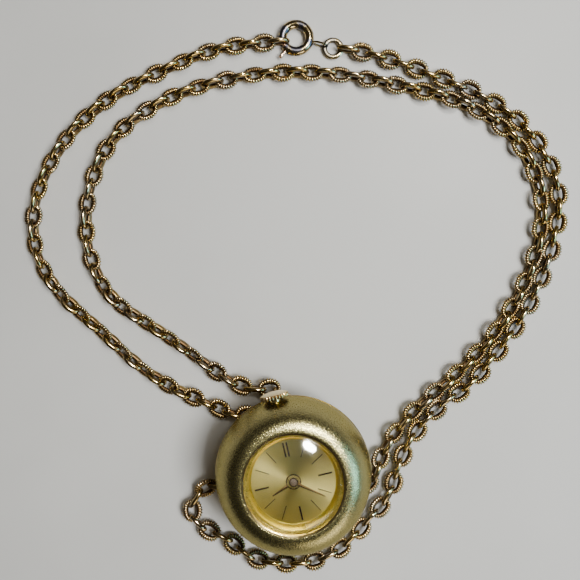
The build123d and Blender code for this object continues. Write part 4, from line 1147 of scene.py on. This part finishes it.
class ClaspOperator(bpy.types.Operator):
    """Builds the spring ring, its bolt and knob, its fixed loop and the ring beside it"""

    bl_idname = "watch.clasp"
    bl_label = "Clasp"

    def execute(self, context):
        clasp = context.scene.watch_clasp
        # Painted reflection: the dark blue-black that covers most of the clasp stands in for the
        # dark room mirrored in its polish, its gold patches for where it mirrors light
        dark_reflection_blue, worn_nickel = (0.028, 0.032, 0.055), (0.07, 0.065, 0.06)
        gilt = polished("clasp_gilt", clasp.gold, roughness=0.07, wear=0.95, under=dark_reflection_blue)
        centre = clasp_centre()
        turn = 2 * pi - clasp.gap_turn
        start = clasp.gap_start + clasp.gap_turn
        room = radians(7)
        slot_from, slot_to = clasp.knob_turn - room, clasp.knob_turn + clasp.travel + room
        outer = clasp.ring_radius + clasp.tube * 0.62
        half_slot = 0.4 * MM
        bore = 0.5 * MM

        def outside_slot(c):
            at = atan2(c.y, c.x) % (2 * pi)
            return not (slot_from < at < slot_to and off_axis(c) > outer and abs(c.z) < half_slot)

        ring_r = clasp.ring_radius
        tube = bent_tube(ring_r, clasp.tube, start, turn, steps=90, sides=20, keep=outside_slot)
        apply(tube, "SOLIDIFY", thickness=clasp.tube - bore, offset=-1)
        tube.data.transform(Matrix.Translation(centre))
        hang(tube, "clasp_tube_polished", CASE, [gilt], ["clasp_tube"], limit=50)

        bolt_start = clasp.gap_start - radians(12)
        bolt_turn = clasp.knob_turn + radians(20) - bolt_start
        bolt = bent_tube(ring_r, clasp.bolt, bolt_start, bolt_turn, steps=28, sides=14)
        edit(bolt)
        choose_all()
        bpy.ops.mesh.fill_holes(sides=0)
        close_up()
        out = Vector((cos(clasp.knob_turn), sin(clasp.knob_turn), 0))
        surface = ring_r + clasp.tube
        stem_end, head_start, head_end = surface + 1.3 * MM, surface + 0.55 * MM, surface + 1.5 * MM
        stem = rod(0.3 * MM, out * ring_r, out * stem_end, sides=16)
        head = rod(0.32 * MM, out * head_start, out * head_end, sides=24, bevel=0.12 * MM)
        bolt = joined([bolt, stem, head])
        bolt.data.transform(Matrix.Translation(centre))
        warm = polished("clasp_bolt_gilt", (0.60, 0.36, 0.22), roughness=0.16, wear=0.6)
        node = "clasp_bolt"
        hang(bolt, "clasp_bolt_polished", "clasp_bolt", [warm], [node], limit=40)

        low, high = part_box("clasp_bail")
        wire = 0.4 * MM
        stretch = 1.36
        radius = (high.z - low.z - wire) / 2
        loop = ring(radius, wire, (0, 0, 0), rotation=(radians(90), 0, 0), sides=36, wire_sides=10)
        loop.data.transform(Matrix.Diagonal((stretch, 1, 1, 1)))
        place = Matrix.Translation((low + high) / 2) @ Matrix.Rotation(clasp.loop_turn, 4, "Z")
        loop.data.transform(place)
        hang(loop, "clasp_bail_round", CASE, [gilt], ["clasp_bail"])

        wire = END_HIGH.z - END_LOW.z
        broad = wire + 0.4 * MM
        radius = (END_HIGH.x - END_LOW.x - broad) / 2
        end = ring(radius, broad, (END_LOW + END_HIGH) / 2)
        bpy.ops.transform.resize(value=(1, 1, wire / broad))
        settle(end)
        tone = shade(clasp.gold, 0.8)
        darker = polished("end_ring_gilt", tone, roughness=0.12, wear=0.9, under=worn_nickel)
        hang(end, "end_ring_round", CASE, [darker], ["end_ring"])
        return {"FINISHED"}


# The movement keeps its solids and gets its finishes


class MovementOperator(bpy.types.Operator):
    """Finishes the movement's plates, wheels, springs and jewels"""

    bl_idname = "watch.movement"
    bl_label = "Movement"

    def execute(self, context):
        finishes = {
            "plate_nickel": brushed("plate_nickel", (0.62, 0.60, 0.54), 0.26, (1, 12, 1)),
            "wheel_brass": brushed("wheel_brass", (0.78, 0.60, 0.28), 0.2, (8, 8, 1)),
            "work_steel": brushed("work_steel", (0.56, 0.57, 0.58), 0.22, (12, 1, 1)),
            "spring_steel": brushed("spring_blue", (0.13, 0.16, 0.30), 0.2, (1, 1, 10)),
            "ruby": ruby("ruby"),
        }
        for row in frame["record"]["subparts"]:
            finish = finishes.get(row["material_slot"])
            if finish:
                dress(row["node"], finish)
        return {"FINISHED"}


# Table, lights and camera


def soft_light(name, at, aim, size, power, tone, unseen, shape="SQUARE"):
    """Flat soft light aimed at a place; the rays named as unseen don't meet it."""
    data = bpy.data.lights.new(name, "AREA")
    data.shape = shape
    data.size, data.size_y = size
    data.energy = power
    data.color = tone
    light = bpy.data.objects.new(name, data)
    light.location = at
    light.rotation_euler = (Vector(aim) - Vector(at)).to_track_quat("-Z", "Y").to_euler()
    for ray in unseen:
        setattr(light, f"visible_{ray}", False)
    bpy.context.scene.collection.objects.link(light)


class StageOperator(bpy.types.Operator):
    """Sets the pale table, the soft lights and the camera over the watch"""

    bl_idname = "watch.stage"
    bl_label = "Stage"

    def execute(self, context):
        stage = context.scene.watch_stage
        deselect()
        bpy.ops.mesh.primitive_plane_add(size=1.6, location=(0, 0, -0.02 * MM))
        floor = added()
        floor.name = "table"
        floor.data.materials.append(table_top("pale_table", stage.table))

        data = bpy.data.cameras.new("camera")
        data.lens = stage.focal
        data.sensor_width = 36
        data.clip_start = 1 * MM
        camera = bpy.data.objects.new("camera", data)
        camera.location = (stage.camera_x, stage.camera_y, stage.camera_height)
        camera.rotation_euler = (0, 0, stage.camera_turn)
        context.scene.collection.objects.link(camera)
        context.scene.camera = camera

        world = bpy.data.worlds.new("studio")
        world.use_nodes = True
        backdrop = world.node_tree.nodes["Background"]
        backdrop.inputs["Color"].default_value = (1.0, 0.9, 0.76, 1)
        backdrop.inputs["Strength"].default_value = 0.04
        context.scene.world = world

        whole = (5 * MM, 25 * MM, 5 * MM)
        dial, crystal = (0, 0, 12 * MM), (0, 0, 15 * MM)
        # Three lights show in the metal and the crystal alone
        window = Vector((0.345, 0.318, 0.883)) * 0.42
        white, blue, warm = (1.0, 0.99, 0.92), (0.30, 0.68, 1.0), (1.0, 0.92, 0.74)
        soft_light("window", window, crystal, (0.1, 0.05), 4.8, white, ["diffuse"], "ELLIPSE")
        card = Vector((0.80, -0.28, 0.53)) * 0.5
        soft_light("card", card, whole, (0.2, 0.2), 1.9, blue, ["diffuse", "transmission"])
        low = Vector((0.25, -0.88, 0.38)) * 0.5
        soft_light("low", low, whole, (0.26, 0.26), 1.0, warm, ["diffuse"])
        # Only what lies under the crystal sees this one: it draws the two bright fans on the dial
        fans = Vector((0.23, 0.73, 0.643)) * 0.5
        cream = (1.0, 0.98, 0.85)
        soft_light("fans", fans, dial, (0.3, 0.12), 2.8, cream, ["diffuse", "glossy"], "RECTANGLE")
        # The last two light the table
        fill, room = Vector((0.41, -0.13, 0.906)) * 0.5, (0, 0.1, 0.6)
        cool, amber = (0.99, 0.995, 0.985), (1.0, 0.76, 0.46)
        mirrors = ["glossy", "transmission"]
        soft_light("fill", fill, whole, (0.2, 0.2), 3.4, cool, mirrors)
        soft_light("room", room, whole, (0.5, 0.5), 0.25, amber, mirrors)
        return {"FINISHED"}


OPERATORS = (
    StageOperator,
    ChainOperator,
    CaseOperator,
    CrystalOperator,
    DialOperator,
    HandsOperator,
    CrownOperator,
    BowOperator,
    ClaspOperator,
    MovementOperator,
)


class WatchPanel(bpy.types.Panel):
    """Lists the settings and the steps in the sidebar"""

    bl_idname = "VIEW3D_PT_pendant_watch"
    bl_label = "Pendant watch"
    bl_space_type = "VIEW_3D"
    bl_region_type = "UI"
    bl_category = "Watch"

    def draw(self, context):
        for name, group in GROUPS.items():
            box = self.layout.box()
            box.label(text=group.__name__.replace("Settings", ""))
            for setting in group.__annotations__:
                box.prop(getattr(context.scene, name), setting)
        for operator in OPERATORS:
            self.layout.operator(operator.bl_idname)


def register():
    for name, group in GROUPS.items():
        bpy.utils.register_class(group)
        setattr(bpy.types.Scene, name, PointerProperty(type=group))
    for operator in OPERATORS:
        bpy.utils.register_class(operator)
    bpy.utils.register_class(WatchPanel)


def unregister():
    bpy.utils.unregister_class(WatchPanel)
    for operator in reversed(OPERATORS):
        bpy.utils.unregister_class(operator)
    for name, group in GROUPS.items():
        delattr(bpy.types.Scene, name)
        bpy.utils.unregister_class(group)


def main():
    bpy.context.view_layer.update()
    register()
    bpy.ops.watch.stage()
    bpy.ops.watch.chain()
    bpy.ops.watch.case()
    bpy.ops.watch.crystal()
    bpy.ops.watch.dial()
    bpy.ops.watch.hands()
    bpy.ops.watch.crown()
    bpy.ops.watch.bow()
    bpy.ops.watch.clasp()
    bpy.ops.watch.movement()


if __name__ == "__main__":
    main()
